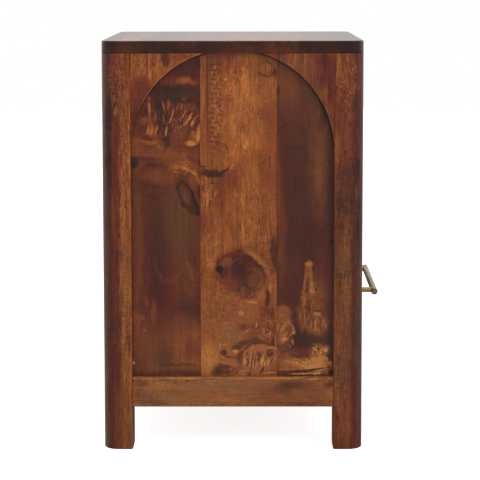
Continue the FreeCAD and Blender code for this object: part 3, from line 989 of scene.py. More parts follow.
@dataclass(frozen=True)
class SeenSide:
    """The figure of the side that the camera sees: the marks of each stretch, and each board's whole."""

    # Painted shadow that the arch's edge casts on the panel just under it
    arch_shadow: Figure = (
        arc(ARCH_MIDDLE, SHADOW_RADII, -35, 4.6, 50, SOOT_AND_SHADE, 0.95, soft=0.1, ragged=0.0),
        arc(ARCH_MIDDLE, SHADOW_RADII, 36, 2.6, 22, SOOT_AND_SHADE, 0.8, soft=0.1, ragged=0.15),
        arc(ARCH_MIDDLE, SHADOW_RADII, 0, 1.6, 16, SOOT_AND_SHADE, 0.6, soft=0.1, ragged=0.0),
    )

    # The reds and browns round the burl
    burl_ground: Figure = (
        blot((78, 560), (30, 16), WINE, 0.75),
        blot((100, 541), (34, 9), RUSSET, 0.8),
        blot((60, 569), (7, 6), SOOT_AND_SHADE, 0.65, ragged=0.3),
        blot((84, 543), (11, 4.5), HONEY, 0.9, ragged=0.3),
        blot((72, 540), (7, 3), COPPER, 0.8, ragged=0.3),
        blot((147, 500), (14, 40), RUSSET, 0.7),
        blot((146, 485), (8, 22), WINE, 0.6),
        blot((110, 438), (44, 12), COPPER, 0.6),
        blot((92, 458), (20, 18), CHESTNUT, 0.75),
        blot((90, 444), (12, 6), WINE, 0.4),
        blot((66, 440), (8, 12), RUSSET, 0.6),
        blot((87, 434), (5, 4), HONEY, 0.7, ragged=0.3),
    )

    # The smoky dark brow of the burl, and the plumes that hang from it
    burl_smoke: Figure = (
        blot((98, 523), (37, 14), UMBER, 0.9, soft=0.35),
        blot((112, 528), (18, 8), SOOT_AND_SHADE, 0.35),
        blot((70, 510), (13, 13), UMBER, 0.75),
        blot((121, 503), (8, 34), UMBER, 0.9, soft=0.4),
        blot((122, 505), (4.5, 22), SOOT_AND_SHADE, 0.7),
        blot((111, 470), (9, 26), UMBER, 0.85, soft=0.4),
        blot((112, 448), (3.5, 9), UMBER, 0.8),
        blot((108, 490), (8, 12), UMBER, 0.6),
        blot((94, 488), (11, 10), UMBER, 0.65),
        dash((140, 470), (138, 505), 5, WINE, 0.8),
        dash((140, 468), (139, 480), 4, UMBER, 0.8),
        blot((132, 503), (4, 10), UMBER, 0.8, ragged=0.3),
        dash((157, 499), (155, 511), 3.5, SOOT_AND_SHADE, 0.7),
        dash((162, 470), (160, 486), 4, SOOT_AND_SHADE, 0.75),
        dash((157, 473), (154, 487), 2.5, SOOT_AND_SHADE, 0.55),
        dash((89, 495), (85, 506), 4, UMBER, 0.7),
        dash((80, 493), (76, 500), 3, UMBER, 0.6),
        blot((65, 481), (4, 9), WINE, 0.7),
        dash((69, 446), (62, 452), 2.5, UMBER, 0.7),
        blot((124, 498), (8, 12), WINE, 0.3),
        blot((123, 522), (10, 12), WINE, 0.55),
        blot((74, 520), (9, 9), WINE, 0.6),
        blot((156, 448), (8, 14), HONEY, 0.8),
        blot((123, 458), (7, 7), COPPER, 0.6),
    )

    # The golden dashes that fan out of the burl, and the gold on both its sides
    burl_gold: Figure = (
        dash((134, 493), (135, 512), 3.6, GOLD, 1.0),
        dash((137, 474), (134, 498), 3.6, COPPER, 0.85),
        blot((132, 470), (7, 9), COPPER, 0.85),
        dash((139, 463), (136, 476), 3.6, GOLD, 0.9),
        dash((133, 461), (132, 474), 4, GOLD, 0.7),
        dash((127, 464), (123, 478), 3.4, GOLD, 0.9),
        dash((130, 470), (133, 486), 3, HONEY, 0.7),
        blot((142, 486), (3.4, 3), ROSE, 0.7, ragged=0.3),
        dash((133, 515), (138, 519), 3, ROSE, 0.9),
        dash((150, 464), (130, 462), 2, WINE, 0.8),
        dash((126.5, 481), (126, 497), 3.4, HONEY, 0.8),
        dash((137, 514), (134, 521), 4, HONEY, 0.6),
        blot((151, 456), (10, 3.4), HONEY, 0.85),
        blot((131, 453), (16, 2.6), HONEY, 0.8, lean=-4),
        blot((118, 446), (6, 3), HONEY, 0.6),
        blot((145, 484), (6, 4), COPPER, 0.6),
        dash((113, 497), (116, 514), 3, ROSE, 0.8),
        dash((108, 498), (107.5, 515), 2.8, HONEY, 0.85),
        dash((112.5, 480), (115.5, 492), 2.6, ROSE, 0.6),
        dash((104, 505), (105, 514), 2, ROSE, 0.5),
        dash((111, 461), (110, 476), 2.6, STRAW, 0.75),
        dash((118, 462), (117, 472), 2.4, RUSSET, 0.7),
        dash((106, 480), (103, 490), 3.2, GOLD, 0.85),
        dash((103.5, 486), (100.5, 499), 2.6, GOLD, 0.95),
        dash((100, 493), (99, 503), 2.2, HONEY, 0.8),
        dash((95.5, 500), (91.5, 511), 2.4, HONEY, 0.9),
        dash((90, 500), (86.5, 509), 2.2, ROSE, 0.85),
        dash((87, 488), (84, 495), 2.6, GOLD, 1.0),
        dash((84.5, 493), (81, 501), 2.6, HONEY, 0.9),
        strokes((84, 489), (20, 15), -34, 12, 4, 0.34, ROSE, 0.6),
        strokes((112, 488), (24, 24), 4, 13, 4, 0.3, CHESTNUT, 0.6),
        curls((92, 476), (28, 16), 26, 20, 0.34, ROSE, 0.4),
        curls((140, 488), (20, 34), 34, 22, 0.34, COPPER, 0.5),
        blot((76, 504), (7, 6), COPPER, 0.5),
        dash((83, 477), (78, 486), 3.4, GOLD, 0.9),
        dash((79, 484), (74, 491), 3, STRAW, 0.7),
        dash((78, 490), (71, 495), 2.6, GOLD, 0.9),
        dash((82, 494), (79, 500), 2, HONEY, 0.7),
        dash((84, 483), (79, 492), 2, HONEY, 0.6),
        dash((74, 476), (71, 485), 3.4, SAND, 0.8),
        dash((72, 484), (63, 494), 3, HONEY, 0.8),
        dash((70, 489), (62, 500), 2, WINE, 0.5),
        dash((79, 498), (74, 503), 2, WINE, 0.6),
        dash((92, 472), (86, 478), 2.6, ROSE, 0.7),
        curls((95, 522), (36, 14), 34, 44, 0.36, OLIVE, 0.4),
        blot((86, 516), (3, 2.6), COPPER, 0.5),
        dash((64, 456), (63.5, 478), 5, GOLD, 0.9),
        blot((69, 456), (7, 6), HONEY, 0.9),
        blot((75, 451), (7, 3.4), GOLD, 0.95, ragged=0.3),
        blot((65, 459), (3, 4), GOLD, 0.9, ragged=0.3),
        blot((73, 450), (6, 3), STRAW, 0.6, ragged=0.3),
        blot((65, 461), (2.6, 7), STRAW, 0.5, ragged=0.3),
        blot((72, 464), (3.4, 4), HONEY, 0.8, ragged=0.3),
    )

    # The calm dark oval and the gold that runs over its shoulder
    oval: Figure = (
        blot((112, 292), (56, 118), RUSSET, 0.7, soft=0.2, calm=0.3),
        blot((128, 300), (20, 90), UMBER, 0.5, soft=0.7),
        blot((122, 285), (12, 60), UMBER, 0.4, soft=0.7),
        blot((88, 330), (24, 56), OLIVE, 0.85, soft=0.6),
        blot((154, 330), (8, 150), CHESTNUT, 0.75),
        blot((146, 392), (12, 12), WINE, 0.4, soft=0.7),
        blot((115, 215), (26, 34), WINE, 0.5, soft=0.7),
        blot((122, 236), (13, 26), UMBER, 0.4, soft=0.8),
        blot((82, 206), (14, 26), UMBER, 0.6, soft=0.6, calm=0.3),
        blot((66, 215), (3.4, 30), WINE, 0.75, soft=0.4),
        blot((128, 373), (10, 6), WINE, 0.55),
        blot((124, 232), (11, 28), WINE, 0.5, soft=0.7),
        blot((84, 248), (14, 24), OLIVE, 0.45, soft=0.7),
        blot((155, 192), (7, 24), COPPER, 0.6),
        blot((124, 388), (8, 2.4), UMBER, 0.5),
        arc((100, 300), (24, 52), 168, 4, 40, COPPER, 0.25),
        blot((76, 262), (3.4, 18), COPPER, 0.55, lean=16),
        blot((80, 238), (4, 12), CHESTNUT, 0.6, lean=22),
        blot((68, 275), (3, 14), WINE, 0.5),
        blot((118, 404), (26, 12), COPPER, 0.55),
        blot((100, 432), (34, 12), COPPER, 0.6),
        blot((70, 400), (9, 14), COPPER, 0.7),
        blot((88, 419), (20, 8), HONEY, 0.6),
        strokes((84, 414), (20, 9), 60, 9, 2, 0.4, GOLD, 0.7),
        dash((90, 418), (76, 411), 4, GOLD, 0.9),
        dash((77, 412), (66, 404), 4.4, GOLD, 0.9),
        dash((67, 405), (61, 390), 3.6, HONEY, 0.85),
        blot((152, 440), (12, 26), COPPER, 0.5),
        blot((156, 424), (7, 9), UMBER, 0.9, lean=20, soft=0.3, ragged=0.3),
        dash((160, 412), (156, 424), 5, SOOT_AND_SHADE, 0.6),
        blot((138, 430), (16, 3.4), WINE, 0.7),
        blot((160, 437), (5, 4), COPPER, 0.6),
    )

    # The black knot on the oval's shoulder, with its brown heart
    knot: Figure = (
        blot((79, 371), (14, 29), RUSSET, 0.5, lean=26, soft=0.3, ragged=0.15),
        blot((82, 376), (11, 21.5), UMBER, 0.95, lean=24, soft=0.14, ragged=0.15),
        blot((70, 357), (7, 13), UMBER, 0.95, lean=22, soft=0.18, ragged=0.15),
        blot((85, 363), (5, 5), UMBER, 0.95, soft=0.25, ragged=0.15),
        blot((93, 387), (4, 5), UMBER, 0.9, soft=0.3, ragged=0.15),
        blot((88, 392), (5, 4), UMBER, 0.9, soft=0.3, ragged=0.15),
        dash((64, 346), (69, 370), 4, SOOT_AND_SHADE, 0.85),
        dash((69, 364), (75, 386), 3.4, SOOT_AND_SHADE, 0.75),
        dash((78, 388), (90, 396), 3, SOOT_AND_SHADE, 0.6),
        dash((73, 346), (84, 360), 3, SOOT_AND_SHADE, 0.5),
        dash((87, 362), (92, 384), 2.6, SOOT_AND_SHADE, 0.5),
        blot((83.5, 377), (7, 15.5), OLIVE, 0.6, lean=20, soft=0.35, ragged=0.15),
        blot((83.5, 377), (6, 14), RUSSET, 0.5, lean=20, ragged=0.15),
        blot((77, 364), (4.4, 8), RUSSET, 0.35, lean=30, ragged=0.15),
        blot((84, 374), (2.4, 9), TAN, 0.25, lean=18, soft=0.6, ragged=0.15),
        blot((68, 355), (2, 3), WINE, 0.6, ragged=0.15),
    )

    # The brown flames below the oval, and the dark band over the rail
    board_foot: Figure = (
        blot((110, 140), (56, 48), CHESTNUT, 0.8),
        blot((84, 168), (24, 28), COPPER, 0.6),
        blot((80, 128), (26, 12), COPPER, 0.7),
        blot((153, 210), (6, 10), UMBER, 0.55),
        blot((130, 203), (4, 16), COPPER, 0.5),
        blot((142, 220), (4, 8), CHESTNUT, 0.6),
        blot((146, 195), (3, 3), HONEY, 0.5, ragged=0.3),
        blot((143, 176), (2.4, 2.4), HONEY, 0.6, ragged=0.15),
        blot((150, 160), (12, 26), CHESTNUT, 0.5),
        blot((92, 148), (11, 24), COPPER, 0.65, lean=-6),
        blot((74, 171), (11, 7), COPPER, 0.7),
        blot((76, 150), (8, 14), RUSSET, 0.6),
        blot((118, 135), (18, 12), OLIVE, 0.6),
        blot((108, 112), (50, 4), UMBER, 0.5, soft=0.6),
        blot((90, 124), (26, 2.6), WINE, 0.6),
        blot((160, 128), (1.8, 2.6), STRAW, 0.8, ragged=0.15),
    )

    # Last corrections of tone on the back board
    back_tones: Figure = (
        wash((110, 130), (80, 130), (1.04, 1.15, 1.18)),
        wash((130, 365), (50, 50), (1.0, 1.2, 1.12)),
        wash((108, 464), (9, 11), (1.1, 0.94, 0.9)),
        wash((108, 440), (14, 9), (1.2, 1.2, 1.15)),
        wash((148, 440), (16, 30), (1.1, 1.08, 1.12)),
        wash((84, 330), (16, 30), (1.1, 1.1, 1.1)),
        wash((92, 176), (30, 14), (0.9, 0.92, 1.0)),
        wash((108, 190), (34, 44), CLEAR, calm=0.5),
        wash((157, 175), (6, 50), (1.2, 1.18, 1.16)),
        wash((66, 160), (14, 50), (1.14, 1.16, 1.16)),
        wash((108, 360), (9, 30), (1.16, 1.16, 1.16)),
        wash((106, 117), (60, 11), (1.0, 1.1, 1.22)),
        wash((100, 222), (50, 16), (1.14, 1.14, 1.14)),
    )

    # The ladder beside the back joint: its lowest rung, how many rungs and flecks it has, and their rise
    ladder_foot: float = 453.0
    rungs: int = 17
    rung_rise: float = 7.0
    flecks: int = 14
    fleck_rise: float = 8.0

    # The dark line along the back joint, and the ground of the ladder beside it
    ladder: Figure = (
        blot((56, 492), (3, 48), HONEY, 0.7, ragged=0.15),
        blot((36, 500), (16, 80), COPPER, 0.5, calm=0.7, soft=0.3),
        strokes((38, 500), (14, 80), 86, 18, 6, 0.42, RUSSET, 0.7),
        strokes((34, 505), (14, 66), 80, 16, 6, 0.32, GOLD, 0.6),
        strokes((22, 505), (12, 60), 4, 14, 5, 0.36, GOLD, 0.7),
        blot((25, 568), (26, 12), RUSSET, 0.45),
        dash((41, 548), (42, 556), 4, WINE, 0.5),
        dash((33, 502), (33, 508), 4, WINE, 0.7),
        dash((34, 458), (35, 466), 4, WINE, 0.5),
        dash((40, 502), (40, 512), 3.4, GOLD, 0.8),
        dash((24, 543), (25, 547), 4, STRAW, 0.5),
    )

    # The gold that runs down the middle of the board
    golden_flow: Figure = (
        blot((-2, 500), (20, 60), HONEY, 0.6),
        blot((-4, 516), (10, 26), GOLD, 0.6, soft=0.7),
        wash((-6, 490), (30, 80), CLEAR, calm=0.45),
        strokes((-4, 495), (26, 68), -6, 24, 6, 0.46, GOLD, 0.8),
        strokes((-2, 505), (24, 66), -2, 13, 5, 0.3, SAND, 0.45),
        strokes((-4, 480), (24, 60), -4, 12, 2, 0.22, WINE, 0.45),
        curls((-4, 490), (26, 72), 60, 24, 0.36, GOLD, 0.6),
        curls((2, 480), (30, 76), 44, 18, 0.24, RUSSET, 0.45),
        blot((-16, 455), (15, 12), GOLD, 0.7),
        blot((-48, 385), (3, 62), RUSSET, 0.4, ragged=0.3),
        blot((-4, 447), (3, 3), STRAW, 0.6, ragged=0.15),
        blot((-7, 453), (2, 3), STRAW, 0.6, ragged=0.15),
        blot((-21, 556), (2.2, 2.2), STRAW, 0.7, ragged=0.15),
        blot((-20, 472), (10, 12), GOLD, 0.5, soft=0.7),
        blot((-36, 424), (13, 14), RUSSET, 0.4, soft=0.7),
        blot((20, 386), (16, 15), RUSSET, 0.35, soft=0.7),
        blot((-36, 492), (13, 14), RUSSET, 0.6, soft=0.7, calm=0.6),
        blot((-40, 470), (12, 40), COPPER, 0.5, calm=0.5),
        blot((10, 400), (18, 16), RUSSET, 0.65, soft=0.7, calm=0.6),
        blot((-40, 400), (14, 14), RUSSET, 0.45, soft=0.7, calm=0.6),
        blot((-15, 402), (11, 20), HONEY, 0.65, soft=0.6, calm=0.4),
        blot((32, 375), (8, 24), RUSSET, 0.65, soft=0.6, calm=0.4),
        blot((-4, 360), (12, 40), HONEY, 0.6),
        strokes((-6, 362), (20, 46), 5, 26, 5, 0.45, GOLD, 0.7),
        blot((-30, 355), (16, 6), HONEY, 0.6),
        strokes((-15, 308), (24, 12), -20, 9, 2.6, 0.4, GOLD, 0.7),
        strokes((-28, 365), (16, 26), 5, 9, 2.4, 0.25, WINE, 0.35),
        blot((-46, 290), (6, 26), UMBER, 0.85, lean=2, soft=0.35),
        blot((58, 332), (7, 16), RUSSET, 0.6),
        blot((44, 296), (18, 26), HONEY, 0.65, lean=-25),
        strokes((46, 298), (18, 32), -32, 18, 3, 0.45, GOLD, 0.65),
        blot((42, 272), (9, 5), GOLD, 0.6),
        dash((62, 262), (58, 300), 3, HONEY, 0.6),
    )

    # The small swirl under the arch and the dark one by the back joint
    small_swirls: Figure = (
        blot((-34, 562), (19, 14), COPPER, 0.7, soft=0.4),
        blot((-34, 560), (8, 6), HONEY, 0.7),
        arc((-36, 560), (14, 11), 190, 3, 70, WINE, 0.75, ragged=0.3),
        arc((-36, 562), (8, 7), -80, 2.4, 80, WINE, 0.6, ragged=0.3),
        blot((-48, 554), (5, 5), WINE, 0.7),
        blot((44, 408), (20, 6), UMBER, 0.9, soft=0.35),
        dash((32, 408), (18, 415), 4, UMBER, 0.8),
        arc((40, 432), (26, 22), 165, 3, 60, WINE, 0.65),
        arc((36, 436), (17, 16), -60, 2.6, 50, WINE, 0.5),
        blot((33, 426), (10, 8), HONEY, 0.7),
        dash((20, 432), (12, 442), 3.4, GOLD, 0.6),
        dash((18, 413), (12, 422), 3, GOLD, 0.7),
        dash((53, 391), (36, 395), 2.2, WINE, 0.7),
        dash((50, 418), (62, 417), 2.2, WINE, 0.6),
        strokes((47, 376), (11, 18), 4, 10, 3, 0.5, GOLD, 0.75),
        blot((57, 384), (2.4, 6), WINE, 0.7),
        dash((48, 358), (45, 368), 3, WINE, 0.6),
    )

    # The big dark eye with the gold that curls round it
    eye: Figure = (
        blot((4, 262), (37, 33), RUSSET, 0.9, soft=0.3, calm=0.3),
        blot((6, 272), (28, 22), WINE, 0.8),
        blot((9, 273), (13, 12), UMBER, 0.85, soft=0.6),
        blot((-4, 242), (16, 17), UMBER, 0.75, soft=0.6),
        blot((-8, 224), (12, 6), WINE, 0.7),
        blot((27, 246), (14, 11), RUSSET, 0.7),
        blot((24, 278), (9, 7), COPPER, 0.6),
        blot((33, 266), (5.4, 6), SOOT_AND_SHADE, 0.95, soft=0.35, ragged=0.3),
        dash((28, 253), (33, 262), 5, SOOT_AND_SHADE, 0.6),
        arc((-2, 254), (34, 30), -72, 9, 50, UMBER, 0.85),
        arc((8, 266), (32, 26), 22, 4, 36, WINE, 0.8),
        blot((-19, 250), (9, 12), CHESTNUT, 0.85, soft=0.6),
        arc((-12, 252), (16, 18), -70, 4, 60, COPPER, 0.7),
        arc((-4, 252), (44, 34), -62, 6, 36, GOLD, 0.85),
        dash((-50, 224), (-49, 254), 4.6, HONEY, 0.85),
        dash((-41, 268), (-22, 277), 4, GOLD, 0.8),
        arc((-4, 250), (31, 32), -125, 3.6, 34, GOLD, 0.8),
        blot((-30, 236), (4, 10), HONEY, 0.8, lean=-10),
        blot((-37, 223), (4.4, 11), WINE, 0.85),
        dash((5, 275), (-1, 279), 2.6, CHESTNUT, 0.6),
        dash((1, 268), (-8, 258), 2, SOOT_AND_SHADE, 0.6),
        arc((4, 264), (19, 15), 80, 2, 70, CHESTNUT, 0.5),
        blot((34, 238), (5, 2.2), WINE, 0.6),
        blot((-36, 248), (6, 10), CHESTNUT, 0.65),
        blot((54, 176), (9, 18), HONEY, 0.55),
    )

    # The brown speckle and the small curls below the eye
    speckle: Figure = (
        wash((10, 165), (75, 95), CLEAR, calm=0.75, soft=0.5),
        blot((47, 225), (16, 26), HONEY, 0.5, soft=0.6),
        blot((50, 185), (14, 18), COPPER, 0.5, soft=0.7),
        curls((14, 200), (52, 44), 34, 30, 0.46, CHESTNUT, 0.75),
        curls((8, 190), (52, 46), 26, 24, 0.34, ROSE, 0.6),
        curls((20, 206), (44, 40), 30, 34, 0.34, GOLD, 0.55),
        curls((0, 185), (46, 34), 46, 40, 0.26, RUSSET, 0.6),
        blot((-10, 206), (16, 12), HONEY, 0.6),
        blot((2, 202), (4, 3), SAND, 0.6, ragged=0.3),
        blot((-28, 226), (9, 7), ROSE, 0.7, lean=-30),
        dash((-8, 219), (-21, 217), 2.6, SAND, 0.8),
        blot((14, 168), (20, 14), TAN, 0.6),
        blot((0, 180), (5, 4.4), UMBER, 0.55, ragged=0.3),
        blot((-17, 180), (13, 4), RUSSET, 0.6),
        dash((-20, 180), (-21, 188), 2.4, SAND, 0.8),
        dash((-2, 172), (-8, 176), 2, SAND, 0.5),
        dash((-6, 169), (-10, 164), 2, SAND, 0.6),
        blot((-33, 203), (8, 9), RUSSET, 0.6),
        blot((-44, 200), (4, 9), WINE, 0.7, ragged=0.3),
        blot((-37, 224), (3.6, 11), WINE, 0.85, ragged=0.3),
        blot((-37, 178), (9, 17), ROSE, 0.6),
        curls((-38, 180), (14, 26), 26, 18, 0.42, WINE, 0.7),
        dash((-40, 168), (-41, 176), 2.4, SAND, 0.8),
        dash((-46, 170), (-47, 186), 2, WINE, 0.6),
        blot((-15, 167), (15, 6), CHESTNUT, 0.6),
        dash((-22, 170), (-36, 158), 2.4, ROSE, 0.8),
        blot((-13, 158), (20, 5), WINE, 0.75, lean=4),
        blot((2, 155), (9, 5), UMBER, 0.4),
        blot((-44, 157), (3.6, 7), WINE, 0.85, ragged=0.3),
        dash((-48, 152), (-48, 168), 2.6, ROSE, 0.8),
    )

    # The round burl by the rail, the gold beside it and the dark between
    round_burl: Figure = (
        blot((50, 135), (13, 24), GOLD, 0.75),
        strokes((48, 134), (13, 18), 2, 9, 3.4, 0.45, SAND, 0.6),
        blot((34, 152), (8, 8), TAN, 0.6),
        dash((33, 148), (33, 158), 2.4, SAND, 0.7),
        dash((22, 156), (30, 154), 2, SAND, 0.6),
        blot((24, 118), (20, 9), WINE, 0.8, soft=0.4),
        blot((38, 112), (8, 6), UMBER, 0.6),
        dash((34, 128), (6, 124), 4, ROSE, 0.7),
        blot((28, 143), (5, 5), UMBER, 0.85, soft=0.4, ragged=0.3),
        dash((26, 137), (8, 135), 4, WINE, 0.8),
        dash((31, 138), (27, 134), 2, SAND, 0.6),
        blot((4, 137), (4.4, 10), WINE, 0.9, ragged=0.3),
        blot((9, 151), (6, 3.6), UMBER, 0.7),
        blot((10, 145), (4.4, 2.2), SAND, 0.85, ragged=0.3),
        blot((14, 129), (11, 3), ROSE, 0.5, lean=-80),
        curls((4, 115), (18, 6), 14, 12, 0.4, SAND, 0.8),
        blot((-24, 135), (27, 21), ROSE, 0.6, soft=0.3, ragged=0.3),
        strokes((-16, 134), (18, 20), 8, 18, 4, 0.4, WINE, 0.75),
        arc((-24, 136), (27, 21), 10, 2.6, 60, WINE, 0.75, ragged=0.3),
        dash((-2, 124), (-3, 136), 3.4, SAND, 0.8),
        dash((-7, 122), (-8, 134), 1.8, WINE, 0.7),
        dash((-10, 117), (-13, 146), 2, SAND, 0.75),
        dash((-12.4, 116), (-15.4, 144), 1.8, WINE, 0.7),
        dash((-14.6, 117), (-16, 134), 2, SAND, 0.75),
        dash((-16.8, 117), (-19, 138), 1.8, WINE, 0.7),
        dash((-19, 118), (-20, 130), 2, SAND, 0.6),
        dash((-11, 146), (-17, 152), 1.8, SAND, 0.5),
        blot((-27, 149), (9, 6), ROSE, 0.7, ragged=0.3),
        dash((-21, 138), (-27, 146), 1.8, WINE, 0.5),
        dash((-27, 124), (-31, 140), 3.6, SAND, 0.95),
        dash((-32, 122), (-34, 131), 2.6, SAND, 0.8),
        dash((-37, 123), (-39, 133), 2.8, SAND, 0.85),
        dash((-24, 128), (-25, 142), 2, WINE, 0.7),
        dash((-34, 135), (-37, 144), 2, WINE, 0.7),
        blot((-40.5, 142), (5, 5.4), UMBER, 0.85, soft=0.4, ragged=0.3),
        dash((-38, 140), (-42, 146), 1.6, ROSE, 0.7),
        arc((-40, 140), (10, 12), -50, 2.2, 60, SAND, 0.75, ragged=0.3),
        dash((-41, 126), (-45, 136), 1.8, WINE, 0.7),
        dash((-26, 112), (-32, 122), 4, UMBER, 0.85),
        blot((-8, 112), (6, 3), UMBER, 0.6),
        dash((-31, 112), (-50, 113), 2, STRAW, 0.6),
    )

    # Last corrections of tone on the middle board, and its dark back edge
    middle_tones: Figure = (
        wash((10, 130), (100, 130), (1.06, 1.2, 1.22)),
        wash((-22, 350), (20, 60), (1.14, 1.17, 1.14)),
        wash((30, 282), (22, 26), (1.12, 1.15, 1.12)),
        wash((20, 500), (60, 130), (1.04, 1.07, 1.1)),
        wash((10, 504), (12, 12), (0.84, 0.86, 0.86)),
        wash((-20, 560), (8, 16), (1.16, 1.24, 1.2)),
        wash((-40, 570), (14, 8), (0.98, 1.12, 1.05)),
        wash((46, 280), (7, 40), (0.9, 0.9, 0.9)),
        wash((34, 395), (26, 22), (0.9, 0.91, 0.98)),
        wash((36, 175), (24, 16), (1.08, 1.08, 1.04)),
        wash((20, 117), (60, 11), (1.0, 1.1, 1.24)),
        wash((8, 230), (28, 7), (0.88, 0.9, 0.9)),
        blot((51, 518), (1.8, 74), WINE, 0.7, ragged=0.15),
    )

    # The calm dark upper stretch, lighter by the leg, with painted shade in the groove along the leg
    calm_dark: Figure = (
        blot((-92, 400), (60, 220), WINE, 0.4, calm=0.35),
        blot((-68, 400), (22, 150), RUSSET, 0.55),
        blot((-66, 536), (20, 30), COPPER, 0.5, calm=0.4),
        blot((-103, 490), (20, 60), OLIVE, 0.55, soft=0.7),
        blot((-112, 420), (13, 80), CHESTNUT, 0.65, soft=0.7),
        blot((-110, 405), (5, 26), COPPER, 0.4, soft=0.8),
        blot((-76, 425), (22, 60), UMBER, 0.55, soft=0.7),
        blot((-80, 350), (24, 50), UMBER, 0.5, soft=0.7),
        blot((-92, 305), (30, 34), UMBER, 0.6, soft=0.7),
        arc((-72, 462), (20, 18), 0, 5, 60, UMBER, 0.45),
        arc((-74, 424), (22, 20), 0, 5, 60, UMBER, 0.4),
        arc((-74, 482), (18, 16), 0, 4, 60, RUSSET, 0.4),
        blot((-57, 310), (5.5, 70), CHESTNUT, 0.6, soft=0.7),
        blot((-68, 504), (12, 18), OLIVE, 0.5, soft=0.7),
        blot((-102, 525), (16, 18), OLIVE, 0.6, soft=0.7),
        blot((-128, 275), (8, 30), UMBER, 0.3, soft=0.7),
        blot((-100, 290), (12, 40), WINE, 0.35, soft=0.7),
        blot((-52.4, 527), (1.5, 7), SOOT_AND_SHADE, 0.9, ragged=0.15),
        blot((-120, 494), (7, 24), UMBER, 0.75, lean=-24),
        blot((-128, 400), (5, 74), UMBER, 0.6, soft=0.7),
        blot((-129, 350), (6, 44), UMBER, 0.4, soft=0.7),
        blot((-118, 250), (12, 50), RUSSET, 0.5, soft=0.7),
        blot((-129.5, 308), (2.2, 5), SOOT_AND_SHADE, 0.85, ragged=0.15),
        blot((-72, 240), (18, 30), UMBER, 0.25, soft=0.6),
        # Painted shade in the groove between the panel and the front leg
        band(-133, 0.6, 1.2, SOOT_AND_SHADE, 0.4),
    )

    # The golden flame, the curls by the middle joint and the light round under the flame
    flame: Figure = (
        wash((-92, 175), (60, 85), CLEAR, calm=0.6, soft=0.5),
        blot((-104, 225), (15, 28), CHESTNUT, 0.8),
        blot((-97, 256), (6.6, 20), HONEY, 0.8, soft=0.35, ragged=0.3),
        blot((-97, 274), (6, 3.4), GOLD, 0.8, ragged=0.15),
        dash((-89, 208), (-92, 262), 4.6, HONEY, 0.75),
        blot((-95, 244), (2.6, 11), WINE, 0.8, ragged=0.3),
        dash((-94, 262), (-98, 270), 2.4, RUSSET, 0.6),
        blot((-102, 235), (4.4, 7), ROSE, 0.9, ragged=0.3),
        dash((-101, 243), (-103, 248), 2.4, SAND, 0.6),
        blot((-107.6, 236), (1.6, 3), SOOT_AND_SHADE, 0.85, ragged=0.15),
        dash((-92, 238), (-93, 230), 3, UMBER, 0.7),
        dash((-91, 228), (-93, 214), 2.6, ROSE, 0.7),
        curls((-104, 222), (16, 26), 22, 14, 0.4, HONEY, 0.8),
        blot((-96, 212), (3, 8), WINE, 0.7, ragged=0.3),
        dash((-104, 206), (-113, 204), 2.6, WINE, 0.85),
        blot((-109, 200), (5.5, 3), GOLD, 0.95, ragged=0.15),
        dash((-84, 193), (-85, 203), 2.6, ROSE, 0.9),
        dash((-92, 178), (-91, 206), 2.4, ROSE, 0.8),
        dash((-85, 172), (-92, 192), 2, HONEY, 0.7),
        dash((-94, 190), (-98, 200), 2, ROSE, 0.7),
        blot((-109, 184), (16, 15), CHESTNUT, 0.9, soft=0.3),
        curls((-109, 182), (15, 14), 24, 12, 0.4, ROSE, 0.6),
        dash((-105, 172), (-107, 194), 2.6, GOLD, 0.75),
        dash((-117, 182), (-118, 194), 2.4, GOLD, 0.6),
        dash((-122, 178), (-121, 188), 2, ROSE, 0.7),
        dash((-99, 178), (-101, 190), 2, ROSE, 0.6),
        dash((-103, 176), (-103, 194), 1.6, WINE, 0.6),
        dash((-110, 176), (-111, 194), 1.6, WINE, 0.4),
        blot((-60, 203), (10, 9), ROSE, 0.7),
        blot((-60, 178), (13, 28), COPPER, 0.8),
        blot((-84, 196), (7, 14), COPPER, 0.6),
        curls((-60, 182), (12, 26), 24, 20, 0.42, ROSE, 0.85),
        arc((-62, 176), (11, 13), -60, 1.8, 60, GOLD, 0.9, ragged=0.3),
        arc((-60, 190), (9, 8), -50, 1.6, 60, GOLD, 0.75, ragged=0.3),
        dash((-54, 172), (-62, 181), 2.0, GOLD, 0.9),
        dash((-57, 178), (-66, 186), 2.0, GOLD, 0.9),
        dash((-58, 166), (-67, 174), 1.8, GOLD, 0.8),
        dash((-55, 184), (-62, 193), 1.8, HONEY, 0.9),
        dash((-60, 172), (-67, 180), 1.8, WINE, 0.7),
        dash((-52, 190), (-57, 200), 1.8, HONEY, 0.8),
        blot((-62, 163), (5, 3), STRAW, 0.55, ragged=0.3),
        dash((-54, 172), (-56, 188), 1.8, WINE, 0.6),
        dash((-75, 154), (-73, 163), 3, STRAW, 0.7),
        dash((-71, 150), (-70, 156), 2.4, ROSE, 0.6),
        blot((-75.5, 173), (1.8, 2.4), SAND, 0.8, ragged=0.15),
    )

